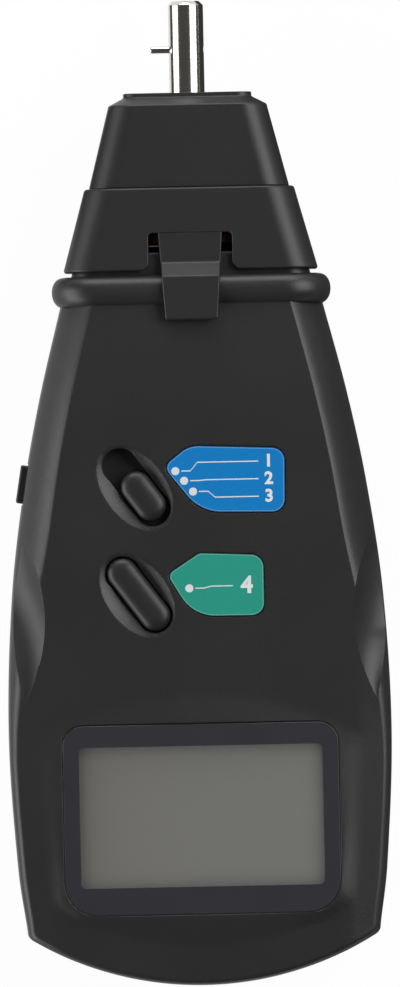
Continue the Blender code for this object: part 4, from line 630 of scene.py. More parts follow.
class Socket:
    """An output in a finish: arithmetic on it adds Math nodes."""

    def __init__(self, finish, output):
        self.finish = finish
        self.output = output

    def math(self, operation, *terms):
        return self.finish.node("ShaderNodeMath", {"operation": operation}, dict(enumerate(terms)))

    def __add__(self, other):
        return self.math("ADD", self, other)

    def __sub__(self, other):
        return self.math("SUBTRACT", self, other)

    def __rsub__(self, other):
        return self.math("SUBTRACT", other, self)

    def __mul__(self, other):
        return self.math("MULTIPLY", self, other)

    def __truediv__(self, other):
        return self.math("DIVIDE", self, other)

    def __pow__(self, other):
        return self.math("POWER", self, other)

    def above(self, other):
        return self.math("GREATER_THAN", self, other)

    def below(self, other):
        return self.math("LESS_THAN", self, other)

    def size(self):
        return self.math("ABSOLUTE", self)

    def wave(self):
        return self.math("SINE", self)

    __radd__ = __add__
    __rmul__ = __mul__


class Finish:
    """A material that is built up node by node behind its shader."""

    def __init__(self, name):
        self.material = bpy.data.materials.new(name)
        self.material.use_nodes = True
        self.tree = self.material.node_tree
        self.shader = self.tree.nodes["Principled BSDF"]
        self.place = self.node("ShaderNodeTexCoord", out="Object")

    def node(self, kind, settings=None, sockets=None, out=0):
        made = self.tree.nodes.new(kind)
        for name, value in (settings or {}).items():
            setattr(made, name, value)
        for name, value in (sockets or {}).items():
            self.feed(made.inputs[name], value)
        return Socket(self, made.outputs[out])

    def feed(self, socket, value):
        if isinstance(value, Socket):
            self.tree.links.new(value.output, socket)
        elif socket.type == "RGBA":
            socket.default_value = (*value, 1.0)
        else:
            socket.default_value = value

    def set(self, **values):
        for name, value in values.items():
            self.feed(self.shader.inputs[name.replace("_", " ")], value)
        return self

    def noise(self, grain, detail=2.0, roughness=0.5):
        """Noise whose lumps are about one grain across, in millimetres."""
        sockets = {"Vector": self.place, "Scale": 1 / (grain * MM), "Detail": detail, "Roughness": roughness}
        return self.node("ShaderNodeTexNoise", {}, sockets)

    def mix(self, share, first, second):
        return self.node("ShaderNodeMix", {"data_type": "RGBA"}, {0: share, 6: first, 7: second}, out=2)

    def most(self, *terms):
        return self.node("ShaderNodeMath", {"operation": "MAXIMUM"}, dict(enumerate(terms)))

    def least(self, *terms):
        return self.node("ShaderNodeMath", {"operation": "MINIMUM"}, dict(enumerate(terms)))

    def ramp(self, value, low, high):
        """Rises from 0 to 1 as a value goes from low to high."""
        return self.node("ShaderNodeMapRange", {}, {"Value": value, "From Min": low, "From Max": high})

    def bump(self, height, depth, strength=1.0):
        """A normal from a height between 0 and 1, with its full depth in millimetres."""
        sockets = {"Height": height, "Distance": depth * MM, "Strength": strength}
        return self.node("ShaderNodeBump", {}, sockets)

    def axes(self):
        """The place on the piece as three numbers, in millimetres."""
        split = self.node("ShaderNodeSeparateXYZ", {}, {0: self.place}).output.node
        return [Socket(self, output) / MM for output in split.outputs]


def moulded(name, colour, roughness, grain=0.35, depth=0.012, **others):
    """Moulded plastic: an even colour with faint clouds, and the fine grain of an eroded mould."""
    finish = Finish(name)
    fine = finish.noise(grain, 3.0, 0.6)
    cloud = finish.noise(22.0, 3.0)
    lighter = [part * 1.16 + 0.0004 for part in colour]
    finish.set(Base_Color=finish.mix(cloud, colour, lighter))
    finish.set(Roughness=fine * 0.16 + (roughness - 0.08) + (cloud - 0.5) * 0.08)
    finish.set(Normal=finish.bump(fine, depth))
    return finish.set(**others).material


def dress(item, *finishes, angle=32):
    """Smooth shading with crisp edges, and the finishes in their slots."""
    item.data.materials.clear()
    for finish in finishes:
        item.data.materials.append(finish)
    item.data.shade_smooth()
    item.data.set_sharp_from_angle(angle=radians(angle))
    weighted = item.modifiers.new("weighted", "WEIGHTED_NORMAL")
    weighted.keep_sharp = True
    return item


CASE_BLACK = (0.0222, 0.0220, 0.0218)
case_finish = moulded("case_black", CASE_BLACK, 0.36, 0.26, 0.03)

front = dress(front_housing(), case_finish)
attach(front, "case")
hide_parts("front_housing")

# Display window: a clear plastic sheet glued into the raised field. A dark border printed on it
# leaves the view of the panel free.
def eased(low, high, edge, foot=0.0):
    """Levels of a plate as (inset, height): an upright side and a rounded top edge."""
    levels = [(foot * (1 - sin(a)), low + foot * (1 - cos(a))) for a in quarter()] if foot else [(0.0, low)]
    return levels + [(edge * (1 - cos(a)), high - edge + edge * sin(a)) for a in quarter()]


def stacked(name, outline, levels):
    return skin(name, [[(x, y, z) for x, y in spread(outline, -inset)] for inset, z in levels])


def printed_window():
    finish = Finish("printed_window")
    x, y, _ = finish.axes()
    half, low, top = VIEW
    across = x.size() - (half - 1)
    along = (y - (low + top) / 2).size() - ((top - low) / 2 - 1)
    past_side, past_end = finish.most(across, 0), finish.most(along, 0)
    corner = (past_side**2 + past_end**2) ** 0.5 + finish.least(finish.most(across, along), 0)
    border = finish.ramp(corner, 0.95, 1.05)
    haze = finish.noise(9.0, 3.0)
    ink = finish.mix(haze, (0.0350, 0.0335, 0.0410), (0.0410, 0.0395, 0.0480))
    finish.set(Base_Color=ink, Alpha=border * 0.9 + 0.1, Roughness=haze * 0.06 + 0.2)
    return finish.material


window = stacked("window", window_outline(), eased(WINDOW_Z - WINDOW_THICKNESS, WINDOW_Z, 0.15, 0.1))
dress(window, printed_window())
window.visible_shadow = False
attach(window, "case")
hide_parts("display_window")


def coat(finish, *names):
    """Gives nodes of the CAD part their finish."""
    for name in names:
        mesh = NODES[name].data
        mesh.materials.clear()
        mesh.materials.append(finish)


def panel_glass_painted_shade():
    finish = Finish("panel_glass_painted_shade")
    x, y, z = finish.axes()
    # Painted shade: the grey of the panel is a touch darker towards the left.
    level = finish.ramp(x + 30.0, 0.0, 60.0)
    cloud = finish.noise(14.0, 2.0)
    grey = finish.mix(level, (0.250, 0.243, 0.222), (0.256, 0.258, 0.236))
    face = finish.mix(cloud * 0.35, grey, (0.225, 0.227, 0.214))
    # Painted shadow: the panel darkens within 3.5 mm of the edges of the view, as if shaded by the printed
    # border and the opening over it.
    half, low, top = VIEW
    middle, reach = (low + top) / 2, (top - low) / 2
    across = finish.ramp(x.size(), half - 3.5, half)
    along = finish.ramp((y - middle).size(), reach - 3.5, reach)
    face = finish.mix((across**2 + along**2) * 0.42, face, (0.11, 0.11, 0.104))
    glass_edge = finish.mix(z.above(26.2), (0.30, 0.36, 0.33), face)
    return finish.set(Base_Color=glass_edge, Roughness=cloud * 0.08 + 0.3).material


def connector_rubber():
    finish = Finish("connector_rubber")
    x = finish.axes()[0]
    stripe = (x * 12.0).wave().above(0)
    carbon = finish.mix(stripe, (0.42, 0.40, 0.38), (0.05, 0.05, 0.05))
    return finish.set(Base_Color=carbon, Roughness=stripe * 0.1 + 0.6).material


coat(panel_glass_painted_shade(), "lcd_panel")
coat(moulded("carrier_plastic", (0.52, 0.51, 0.47), 0.48), "display_carrier")
coat(connector_rubber(), "elastomer_strip_lower", "elastomer_strip_upper")

# Mode slider and memory key: moulded knobs that come up through slots in the face. Flanges under
# the face hold them in, and the slider's flange is long enough to cover its slot over its travel.
KEY_DIRECTION = Vector((cos(radians(KEY_ANGLE)), sin(radians(KEY_ANGLE))))
KEY_FLANGE = 1.1
FLANGE = (23.7, 24.9)
MODE_TRAVEL = 5.0
MODE_START = 2.25
MODE_KNOB = (10.8, 6.2, FACE_Z + 1.2)
MEMORY_KEY = (16.7, 6.1, FACE_Z + 1.0)
KEY_EDGE = 1.9
KEY_DOME = 0.8
STEM = (1.2, 0.7, 0.2)
STEM_LOW_Z = 21.9


def knob(name, size, centre):
    """A pill with a domed top."""
    length, width, top = size
    reach = width / 2 - 0.06
    levels = [(0.0, FLANGE[0] + 0.5)]
    for turn in quarter(24):
        levels.append((reach * (1 - cos(turn) ** KEY_DOME), top - KEY_EDGE * (1 - sin(turn) ** KEY_DOME)))
    outline = slanted(pill(length, width, 36), centre)
    return stacked(name, outline, levels)


def slider():
    at = Vector(MODE_SLOT[0]) + KEY_DIRECTION * MODE_START
    middle = at + KEY_DIRECTION * (MODE_TRAVEL / 2 - MODE_START)
    length, width = MODE_SLOT[1] + 2 * KEY_FLANGE + MODE_TRAVEL, MODE_SLOT[2] + 2 * KEY_FLANGE
    flange = stacked("slider_flange", slanted(pill(length, width), middle), eased(*FLANGE, 0.1))
    stem = prism("slider_stem", slanted(rounded_box(*STEM, 3), at), STEM_LOW_Z, FLANGE[0] + ROOT)
    return shaped(knob("slider", MODE_KNOB, at), ("UNION", [flange, stem]))


def memory():
    centre, length, width = MEMORY_SLOT
    outline = slanted(pill(length + 2 * KEY_FLANGE, width + 2 * KEY_FLANGE), centre)
    flange = stacked("memory_flange", outline, eased(*FLANGE, 0.1))
    return shaped(knob("memory", MEMORY_KEY, centre), ("UNION", [flange]))


key_finish = moulded("key_black", (0.0175, 0.0172, 0.0170), 0.42, 0.30, 0.010)
for item, node, body in ((slider(), "mode_slider", "mode_slider"), (memory(), "memory_key", "memory_key")):
    dress(item, key_finish)
    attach(item, body)
    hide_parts(node)

# Circuit board: green laminate with copper tracks under its lacquer. A slide switch and two press
# switches stand on it under the keys, and a chip, a crystal can and two capacitors hang below it.
def lacquered_board():
    finish = Finish("board_green")
    x, y, z = finish.axes()
    tracks = finish.node(
        "ShaderNodeTexBrick",
        {"offset": 0.37, "squash": 1.6},
        {"Vector": finish.place, "Scale": 160.0, "Mortar Size": 0.055, "Mortar Smooth": 0.1},
        out="Fac",
    )
    spots = finish.node("ShaderNodeTexVoronoi", {}, {"Vector": finish.place, "Scale": 210.0}, out="Distance")
    pads = spots.below(0.16)
    weave = finish.noise(0.8, 2.0)
    lacquer = finish.mix(weave, (0.012, 0.105, 0.045), (0.016, 0.125, 0.055))
    copper = finish.mix(tracks, lacquer, (0.03, 0.19, 0.075))
    finish.set(Base_Color=finish.mix(pads, copper, (0.62, 0.60, 0.56)), Metallic=pads)
    return finish.set(Roughness=weave * 0.1 + 0.3, Normal=finish.bump(tracks + pads, 0.03)).material


def metal(name, colour, roughness, grain=0.6, depth=0.004):
    """Bare metal with fine tool marks."""
    finish = Finish(name)
    fine = finish.noise(grain, 4.0, 0.6)
    darker = [part * 0.86 for part in colour]
    finish.set(Base_Color=finish.mix(fine, darker, colour), Metallic=1.0)
    return finish.set(Roughness=fine * 0.12 + (roughness - 0.06), Normal=finish.bump(fine, depth)).material


plated_steel = metal("plated_steel", (0.62, 0.61, 0.59), 0.30)
switch_black = moulded("switch_black", (0.020, 0.020, 0.021), 0.42, 0.2, 0.006)
coat(lacquered_board(), "circuit_board")
coat(switch_black, "mode_switch", "memory_switch", "measure_switch")
coat(moulded("chip_black", (0.017, 0.017, 0.018), 0.55, 0.12, 0.004), "controller_chip")
coat(moulded("sleeve_black", (0.010, 0.011, 0.016), 0.30, 1.2, 0.004), "capacitor_1", "capacitor_2")
coat(metal("crystal_can", (0.70, 0.69, 0.67), 0.22), "crystal")
coat(plated_steel, "board_screw_1", "board_screw_2", "board_screw_3")

# Optics: a laser module in a brass tube and a photo receiver with its lens stand side by side in a
# black bracket behind the nose window. Two insulated leads run from them to the board.
def clear_glass(name, tint, haze):
    finish = Finish(name)
    smear = finish.noise(5.0, 2.0)
    finish.set(Base_Color=finish.mix(smear, tint, [part * 0.92 for part in tint]))
    return finish.set(Roughness=smear * 0.05 + 0.04, Alpha=smear * 0.06 + haze).material


coat(metal("tube_brass", (0.62, 0.42, 0.17), 0.30), "laser_module")
coat(moulded("receiver_black", (0.012, 0.012, 0.014), 0.35, 0.3, 0.004), "receiver")
coat(moulded("bracket_black", (0.016, 0.016, 0.016), 0.55), "optics_bracket")
coat(clear_glass("lens_glass", (0.74, 0.78, 0.80), 0.32), "receiver_lens")
coat(clear_glass("nose_glass", (0.10, 0.03, 0.03), 0.45), "nose_window")
coat(moulded("lead_red", (0.42, 0.016, 0.014), 0.42, 0.5, 0.006), "laser_lead")
coat(moulded("lead_black", (0.014, 0.014, 0.014), 0.42, 0.5, 0.006), "receiver_lead")

# Side key: the measuring key, a rounded block that stands out of the left flank and is pressed in
# with a finger. A flange inside the wall keeps it from falling out.
def side_key():
    long, high = SIDE_KEY_HALF
    key = stacked("side_key", rounded_box(long, high, 0.5, 6), eased(-3.1, 1.2, 0.45))
    flange = stacked("side_flange", rounded_box(long + 1.0, high + 0.4, 0.6, 6), eased(-3.5, -2.5, 0.1))
    shaped(key, ("UNION", [flange]))
    upright = Matrix(((0, 0, 1, 0), (1, 0, 0, 0), (0, 1, 0, 0), (0, 0, 0, 1)))
    place = side_key_place()
    place.translation *= MM
    key.data.transform(place @ upright)
    return key


measuring = dress(side_key(), key_finish)
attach(measuring, "measure_key")
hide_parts("measure_key")

# Rear housing: the lower half shell, in the same black plastic. It has the other half of the collar
# and nose, a well for each screw, and the battery bay with the grooves that its cover slides in.
BAY = ((-30.0, -84.3), (30.0, -29.0))
BAY_CEILING_Z = 17.2
BAY_WALL = 1.4
COVER_HALF_WIDTH = 29.3
COVER_END_Y = -26.4
COVER_Z = (0.3, 2.1)
TONGUE = (1.7, 0.7, -82.0)
SCREW_HEAD = (2.6, 1.8, 2.9)
WELL_DEPTH = 3.2
WELL_RIM = 0.35


def cover_bar(name, half_width, low, high, grow=0.0, low_y=CASE_END_Y - PAST):
    side = half_width + grow
    return block(name, (-side, low_y, low), (side, COVER_END_Y + grow, high + grow))


def bay_block(name, low_z, high_z, grow=0.0):
    (left, low), (right, top) = BAY
    return block(name, (left - grow, low - grow, low_z), (right + grow, top + grow, high_z))


def rear_housing():
    hollow = case_form("hollow", CASE_WALL, steps=6, sides=24, columns=1, raised=False)
    shelf_side = COVER_HALF_WIDTH + TONGUE[0] + GAP + CASE_WALL
    shelf_end, shelf_top = COVER_END_Y + GAP + CASE_WALL, COVER_Z[1] + GAP + 1.8
    shelf = block("shelf", (-shelf_side, -FAR, -PAST), (shelf_side, shelf_end, shelf_top))
    room = bay_block("room", -PAST, BAY_CEILING_Z + BAY_WALL, BAY_WALL)
    shaped(hollow, ("DIFFERENCE", [shelf, room]))
    above = block("above", (-FAR, -FAR, AXIS_Z - SEAM / 2), (FAR, FAR, FAR))
    joined = [bay_block("roof", AXIS_Z - PAST, BAY_CEILING_Z + BAY_WALL, BAY_WALL)]
    cuts = []
    for i, place in enumerate(screw_places()):
        foot = back_height(place[1])
        boss = circle(place, BOSS_RADIUS)
        joined.append(prism(f"boss_{i}", boss, foot + CASE_WALL - ROOT, AXIS_Z - SEAM))
        well = circle(place, SCREW_HEAD[0] + GAP, 48)
        cuts.append(opening(f"well_{i}", well, lambda x, y: foot, foot + WELL_DEPTH, WELL_RIM, way=-1))
        cuts.append(prism(f"hole_{i}", circle(place, SCREW_HOLE_RADIUS), foot, AXIS_Z + PAST))
    cuts.append(bay_block("bay", -PAST, BAY_CEILING_Z))
    cuts.append(cover_bar("cover_recess", COVER_HALF_WIDTH, -PAST, COVER_Z[1], GAP))
    cuts += [side_key_opening("side_opening"), *nose_openings("rear")]
    groove_z = COVER_Z[1] - TONGUE[1] - GAP
    cuts.append(cover_bar("groove", COVER_HALF_WIDTH + TONGUE[0], groove_z, COVER_Z[1], GAP))
    return shaped(
        case_form("rear_shell", raised=False),
        ("UNION", [collar_form("collar"), nose_form("nose")]),
        ("DIFFERENCE", [hollow, neck_hollow("neck_hollow"), above]),
        ("UNION", joined),
        ("DIFFERENCE", cuts),
    )


rear = dress(rear_housing(), case_finish)
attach(rear, "case")
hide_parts("rear_housing")

# Housing screws: four slotted steel screws, driven from the back through the rear housing's bosses
# into those of the front housing.
SCREW_LENGTH = 14.0


def housing_screw(name, place):
    radius, thickness, depth = SCREW_HEAD
    top = back_height(place[1]) + depth
    low = top - thickness
    levels = [(0.35, low), (0.1, low + 0.1), (0.0, low + 0.35), (0.0, top)]
    screw = stacked(name, circle(place, radius, 64), levels)
    turns = [(top + SCREW_LENGTH * (i + 0.5 * j) / 24, (1.05, 1.3)[j]) for i in range(22) for j in (0, 1)]
    stations = [(top - ROOT, 1.1), *turns, (top + SCREW_LENGTH, 0.5)]
    shank = skin("shank", [[(x, y, z) for x, y in circle(place, thread, 24)] for z, thread in stations])
    x, y = place
    slot = block("slot", (x - 0.4, y - radius - PAST, low - PAST), (x + 0.4, y + radius + PAST, low + 0.8))
    return shaped(screw, ("UNION", [shank]), ("DIFFERENCE", [slot]))


for i, place in enumerate(screw_places(), 1):
    screw = dress(housing_screw(f"case_screw_{i}", place), plated_steel)
    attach(screw, "case")
    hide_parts(f"housing_screw_{i}")

# Battery bay: four AA cells side by side, every other one turned, between sprung steel plates. The
# cells have a printed wrap with a band at the raised end and bare metal at both ends.
CELL_BAND = 14.5
CELL_METAL = 24.2


def cell_wrap(name, middle, way):
    finish = Finish(name)
    y = finish.axes()[1]
    along = (y - middle) * way
    grime = finish.noise(3.0, 2.0)
    band = along.above(CELL_BAND)
    body = finish.mix(grime, (0.045, 0.085, 0.26), (0.055, 0.10, 0.30))
    printed = finish.mix(band, body, (0.60, 0.52, 0.30))
    line = (along - CELL_BAND).size().below(0.35)
    printed = finish.mix(line, printed, (0.72, 0.72, 0.72))
    bare = along.size().above(CELL_METAL)
    finish.set(Base_Color=finish.mix(bare, printed, (0.66, 0.65, 0.63)), Metallic=bare)
    return finish.set(Roughness=grime * 0.1 + 0.26).material


for i in range(1, 5):
    low, high = (corner.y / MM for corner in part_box(f"battery_cell_{i}"))
    way = 1 if i % 2 else -1
    coat(cell_wrap(f"cell_wrap_{i}", (low + high) / 2 - way * 0.5, way), f"battery_cell_{i}")
coat(metal("spring_steel", (0.66, 0.65, 0.62), 0.22, 0.4), *(f"contact_spring_{i}" for i in range(1, 5)))
coat(metal("contact_steel", (0.64, 0.62, 0.58), 0.28, 1.5), *(f"contact_plate_{i}" for i in range(1, 6)))

# Battery cover: a thin lid that carries on the case's own outside at the low end. It slides off
# towards that end, on two tongues, pushed at five grooves for the thumb.
GROOVE_START_Y = COVER_END_Y - 7.5
GROOVE_PITCH = 2.4
GROOVE_RADIUS = 0.85
GROOVE_HALF_WIDTH = 9.0


def battery_cover():
    slab = cover_bar("slab", COVER_HALF_WIDTH, *COVER_Z)
    side, thickness, low_y = TONGUE
    top = COVER_Z[1]
    tongue = cover_bar("tongue", COVER_HALF_WIDTH + side, top - thickness, top, low_y=low_y)
    grooves = []
    for i in range(5):
        outline = circle((GROOVE_START_Y - GROOVE_PITCH * i, COVER_Z[0] - 0.35), GROOVE_RADIUS, 24)
        ends = -GROOVE_HALF_WIDTH, GROOVE_HALF_WIDTH
        grooves.append(skin(f"groove_{i}", [[(x, y, z) for y, z in outline] for x in ends]))
    return shaped(
        case_form("cover", raised=False), ("INTERSECT", [slab]), ("UNION", [tongue]), ("DIFFERENCE", grooves)
    )


cover = dress(battery_cover(), case_finish)
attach(cover, "battery_cover")
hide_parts("battery_cover")

# Mode and memory labels: printed plastic plates with slanted ends, glued into shallow pockets. Each
# has a pale line round its edge and a white dot for every place of its key, with plain numbers.
LABEL_Z = (FACE_Z - 0.3, FACE_Z + 0.1)
LABEL_LINE = (0.17, 0.34)
MODE_DOTS = ((-3.89, 4.42), (-2.17, 2.47), (-0.44, 0.3))
MEMORY_DOTS = ((-1.57, -18.95),)
DOT_RADIUS = 0.8
LEADER_HALF = 0.11


def label(name, outline):
    """A plate whose printed line is a ring of its top face, with the outer and inner rings about it."""
    levels = eased(*LABEL_Z, 0.08) + [(LABEL_LINE[0], LABEL_Z[1]), (LABEL_LINE[1], LABEL_Z[1])]
    item = stacked(name, outline, levels)
    count, line = len(outline), len(levels) - 2
    for face in item.data.polygons:
        insets = [vert // count for vert in face.vertices]
        edge = 2 if max(insets) <= line and min(insets) < line else 0
        face.material_index = 1 if set(insets) == {line, line + 1} else edge
    return item


def printed(name, ground, dots=()):
    finish = Finish(name)
    fleck = finish.noise(0.5, 2.0)
    colour = finish.mix(fleck, ground, [part * 1.1 for part in ground])
    for x, y in dots:
        ends = {0: finish.place, 1: Vector((x, y, LABEL_Z[1])) * MM}
        near = finish.node("ShaderNodeVectorMath", {"operation": "DISTANCE"}, ends, out="Value")
        colour = finish.mix(near.below(DOT_RADIUS * MM), colour, (0.80, 0.83, 0.84))
    finish.set(Base_Color=colour, Roughness=fleck * 0.08 + 0.42, Specular_IOR_Level=0.3)
    return finish.set(Normal=finish.bump(fleck, 0.003)).material


def numbers(name, marks, leaders):
    """Plain figures printed on a label, with thin lines that lead to them from the dots."""
    bm = bmesh.new()
    for text, (x, y), size in marks:
        curve = bpy.data.curves.new(f"{name}_{text}", "FONT")
        curve.body = text
        curve.size = size
        curve.offset = 0.035 * size
        curve.extrude = 0.01
        curve.align_x, curve.align_y = "CENTER", "CENTER"
        item = bpy.data.objects.new(f"{name}_{text}", curve)
        bpy.context.scene.collection.objects.link(item)
        graph = bpy.context.evaluated_depsgraph_get()
        mesh = bpy.data.meshes.new_from_object(item.evaluated_get(graph))
        mesh.transform(Matrix.Translation((x, y, LABEL_Z[1] + 0.012)))
        bm.from_mesh(mesh)
        bpy.data.objects.remove(item, do_unlink=True)
    for points in leaders:
        outline = [(x, y + LEADER_HALF) for x, y in points]
        outline += [(x, y - LEADER_HALF) for x, y in reversed(points)]
        rows = [[bm.verts.new((x, y, LABEL_Z[1] + z)) for x, y in outline] for z in (-0.02, 0.02)]
        for i in range(len(rows[0])):
            j = (i + 1) % len(rows[0])
            bm.faces.new((rows[0][i], rows[0][j], rows[1][j], rows[1][i]))
        bm.faces.new(rows[0])
        bm.faces.new(rows[1])
    return to_object(name, bm)


LABELS = (
    ("mode_label", "blue_label", MODE_LABEL, (0.002, 0.205, 0.56), MODE_DOTS),
    ("memory_label", "green_label", MEMORY_LABEL, (0.022, 0.318, 0.236), MEMORY_DOTS),
)
for node, slot, outline, colour, dots in LABELS:
    plate = label(f"{slot}_plate", outline)
    pale = [part + 0.12 for part in colour]
    dark = [part * 0.22 for part in colour]
    finishes = [printed(f"{slot}_ground", colour, dots)]
    finishes += [printed(f"{slot}_line", pale), printed(f"{slot}_edge", dark)]
    indices = [face.material_index for face in plate.data.polygons]
    dress(plate, *finishes)
    plate.data.polygons.foreach_set("material_index", indices)
    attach(plate, "case")
    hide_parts(node)

white_ink = moulded("white_ink", (0.76, 0.79, 0.80), 0.5, 0.2, 0.002)
FIGURES = (
    ("mode_numbers", "blue_label", (("1", (14.7, 6.1)), ("2", (14.7, 2.6)), ("3", (14.7, -0.9))), MODE_DOTS),
    ("memory_number", "green_label", (("4", (9.9, -18.6)),), MEMORY_DOTS),
)
for name, slot, marks, dots in FIGURES:
    size = 3.4 if len(marks) > 1 else 4.6
    leaders = []
    for (_, (x, y)), (dot_x, dot_y) in zip(marks, dots):
        reach = x - 0.6 * size
        leaders.append([(dot_x + 1.2, dot_y), (dot_x + 3.0, dot_y), (dot_x + 4.4, y), (reach, y)])
    ink = dress(numbers(name, [(*mark, size) for mark in marks], leaders), white_ink)
    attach(ink, "case")

# Adapter skirt: the wide end of the contact adapter, in the case's black plastic. It slips over the
# nose, and two moulded fingers in its notches snap over the collar, front and back.
NOTCH = (8.35, 51.9, 1.9, 0.8)
REAR_NOTCH_TOP_Y = 47.8
FINGER_END_Y = 34.5
FINGER_WIDTHS = (6.4, 5.2)
FINGER_CLEAR = COLLAR_HALF_DEPTH + COLLAR_RADIUS + GAP
FINGER_THICKNESS = 1.1
FINGER_ROOT_THICKNESS = 1.2
FINGER_BEND_Y = 42.1
FINGER_RAMP = (46.0, 43.2)
SKIRT_FLOOR = 1.6
SPIGOT_FIT = 2.3
SPIGOT_WALL = 1.5
SPIGOT_RISE = 2.0
ADAPTER_SCREW_X = 11.5
ADAPTER_HOLE_RADIUS = 1.5


def eased_stations(stations, reach, steps=5):
    """Rows of numbers along a piece, with each inner corner of their run rounded off."""
    rows = [stations[0]]
    for before, corner, after in zip(stations, stations[1:], stations[2:]):
        legs = []
        for other in (before, after):
            step = Vector(other) - Vector(corner)
            legs.append(Vector(corner) + step * min(reach / hypot(step[0], step[1]), 0.45))
        for k in range(steps + 1):
            t = k / steps
            rows.append(tuple(legs[0] * (1 - t) ** 2 + Vector(corner) * (2 * t * (1 - t)) + legs[1] * t * t))
    return rows + [stations[-1]]


def round_edge(radius, steps=5):
    """How far a rounded edge is drawn in on each of its two sides, from one to the other."""
    return [(radius * (1 - cos(a)), radius * (1 - sin(a))) for a in quarter(steps)]


def notch_outline(top):
    """The notch about a finger, flared at its mouth and rounded at its top corners."""
    half, _, flare, corner = NOTCH
    low = SKIRT_LOW[0]
    right = [(half + flare, low - PAST)] + arc((half + flare, low + flare), flare, -90, -180, 10)
    right += arc((half - corner, top - corner), corner, 0, 90, 6)
    return right + [(-x, y) for x, y in reversed(right)]


def finger(name, way):
    """A finger drawn by its profile: flush with the skirt, down a ramp, then level over the collar."""
    top = NOTCH[1] + 2.2
    flush = [(y, skirt_size(y)[1] - 0.1) for y in (top, FINGER_RAMP[0])]
    outer = FINGER_CLEAR + FINGER_THICKNESS
    profile = [(top, flush[0][1] - FINGER_ROOT_THICKNESS, 0.1), (top, flush[0][1], 0.1), (*flush[1], 0.9)]
    profile += [(FINGER_RAMP[1], outer, 0.7), (FINGER_END_Y, outer, 0.45), (FINGER_END_Y, FINGER_CLEAR, 0.15)]
    profile += [(FINGER_BEND_Y, FINGER_CLEAR, 0.3), (FINGER_RAMP[1], FINGER_CLEAR - ROOT, 0.3)]
    profile.append((FINGER_RAMP[0], flush[1][1] - FINGER_ROOT_THICKNESS, 0.5))
    side = rounded(profile, 6)
    rings = []
    levels = round_edge(0.3)
    for share, edge, inset in [(-1, e, i) for e, i in levels[::-1]] + [(1, e, i) for e, i in levels]:
        ring = []
        for y, depth in spread(side, -edge):
            t = (NOTCH[1] - y) / (NOTCH[1] - FINGER_END_Y)
            half = FINGER_WIDTHS[0] + (FINGER_WIDTHS[1] - FINGER_WIDTHS[0]) * t
            ring.append((share * (half - inset), y, AXIS_Z + way * depth))
        rings.append(ring)
    return skin(name, rings)


def skirt_height(way, _, y):
    return AXIS_Z + way * skirt_size(max(y, SKIRT_LOW[0]))[1]


def adapter_skirt():
    low, top = SKIRT_LOW[0], SKIRT_TOP[0]
    rim = round_edge(0.5)
    stations = [(low + e, i) for e, i in rim] + [(top - e, i) for e, i in reversed(rim)]
    outside = skin("skirt", [skirt_section(y, inset) for y, inset in stations])
    hollow = [(low - PAST, 1.2), (low, 1.2), (low + 0.3, ADAPTER_WALL), (top - SKIRT_FLOOR, ADAPTER_WALL)]
    notches = []
    for way, notch_top in ((-1, REAR_NOTCH_TOP_Y), (1, NOTCH[1])):
        outline, surface = notch_outline(notch_top), partial(skirt_height, way)
        notches.append(opening(f"notch_{way}", outline, surface, AXIS_Z - way, 0.25, way))
    end = top + SPIGOT_RISE
    spigot = skin("spigot", [skirt_section(y, SPIGOT_FIT) for y in (top - ROOT, end)])
    well = skin("well", [skirt_section(y, SPIGOT_FIT + SPIGOT_WALL) for y in (top, end + PAST)])
    way = top - SKIRT_FLOOR - PAST, top + PAST
    holes = [barrel("bore", 6.0, 0, *way)]
    for side in (-1, 1):
        holes.append(barrel(f"hole_{side}", ADAPTER_HOLE_RADIUS, side * ADAPTER_SCREW_X, *way))
    return shaped(
        outside,
        ("DIFFERENCE", [skin("skirt_hollow", [skirt_section(y, inset) for y, inset in hollow])]),
        ("UNION", [spigot]),
        ("DIFFERENCE", [well, *notches]),
        ("UNION", [finger("finger_front", 1), finger("finger_rear", -1)]),
        ("DIFFERENCE", holes),
    )


adapter_finish = moulded("adapter_black", (0.0192, 0.0190, 0.0188), 0.40, 0.26, 0.025)
skirt = dress(adapter_skirt(), adapter_finish)
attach(skirt, "adapter")
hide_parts("adapter_skirt")

# Adapter cap: the narrow end of the adapter, which sits on the skirt's spigot with a small step all
# round. Two screws from inside the skirt hold it, and it carries two bronze bushes for the spindle.
CAP_LOW_Y = 61.06
CAP_STEP = (0.9, 0.8)
CAP_CORNER = 5.6
CAP_ROUND = 0.35
CAP_WALL = 2.0
CAP_TOP_WALL = 3.2
CAP_STATIONS = ((77.5, 15.8, 10.1, 5.4), (79.05, 12.8, 7.5, 3.0), (79.95, 12.8, 7.5, 3.0))
CAP_BORE = 5.32
CAP_BOSS_RADIUS = 6.6
CAP_SCREW_BOSS_RADIUS = 2.8
CAP_HOLE_END_Y = 71.3
BUSH_BORE = 3.82


def turned(name, profile, steps=128):
    """A piece turned about the spindle's axis from its profile of (radius, y)."""
    return skin(name, [[(x, y, z) for x, z in circle((0, AXIS_Z), radius, steps)] for radius, y in profile])


def cap_outside():
    half_width, half_depth = skirt_size(CAP_LOW_Y)
    start = (CAP_LOW_Y, half_width - CAP_STEP[0], half_depth - CAP_STEP[1], CAP_CORNER)
    y, wide, deep, corner = CAP_STATIONS[-1]
    stations = [(CAP_LOW_Y, *(size - CAP_ROUND for size in start[1:])), start, *CAP_STATIONS]
    stations.append((y, wide - CAP_ROUND, deep - CAP_ROUND, corner - CAP_ROUND))
    return [cross_section(*row) for row in eased_stations(stations, 0.32)]


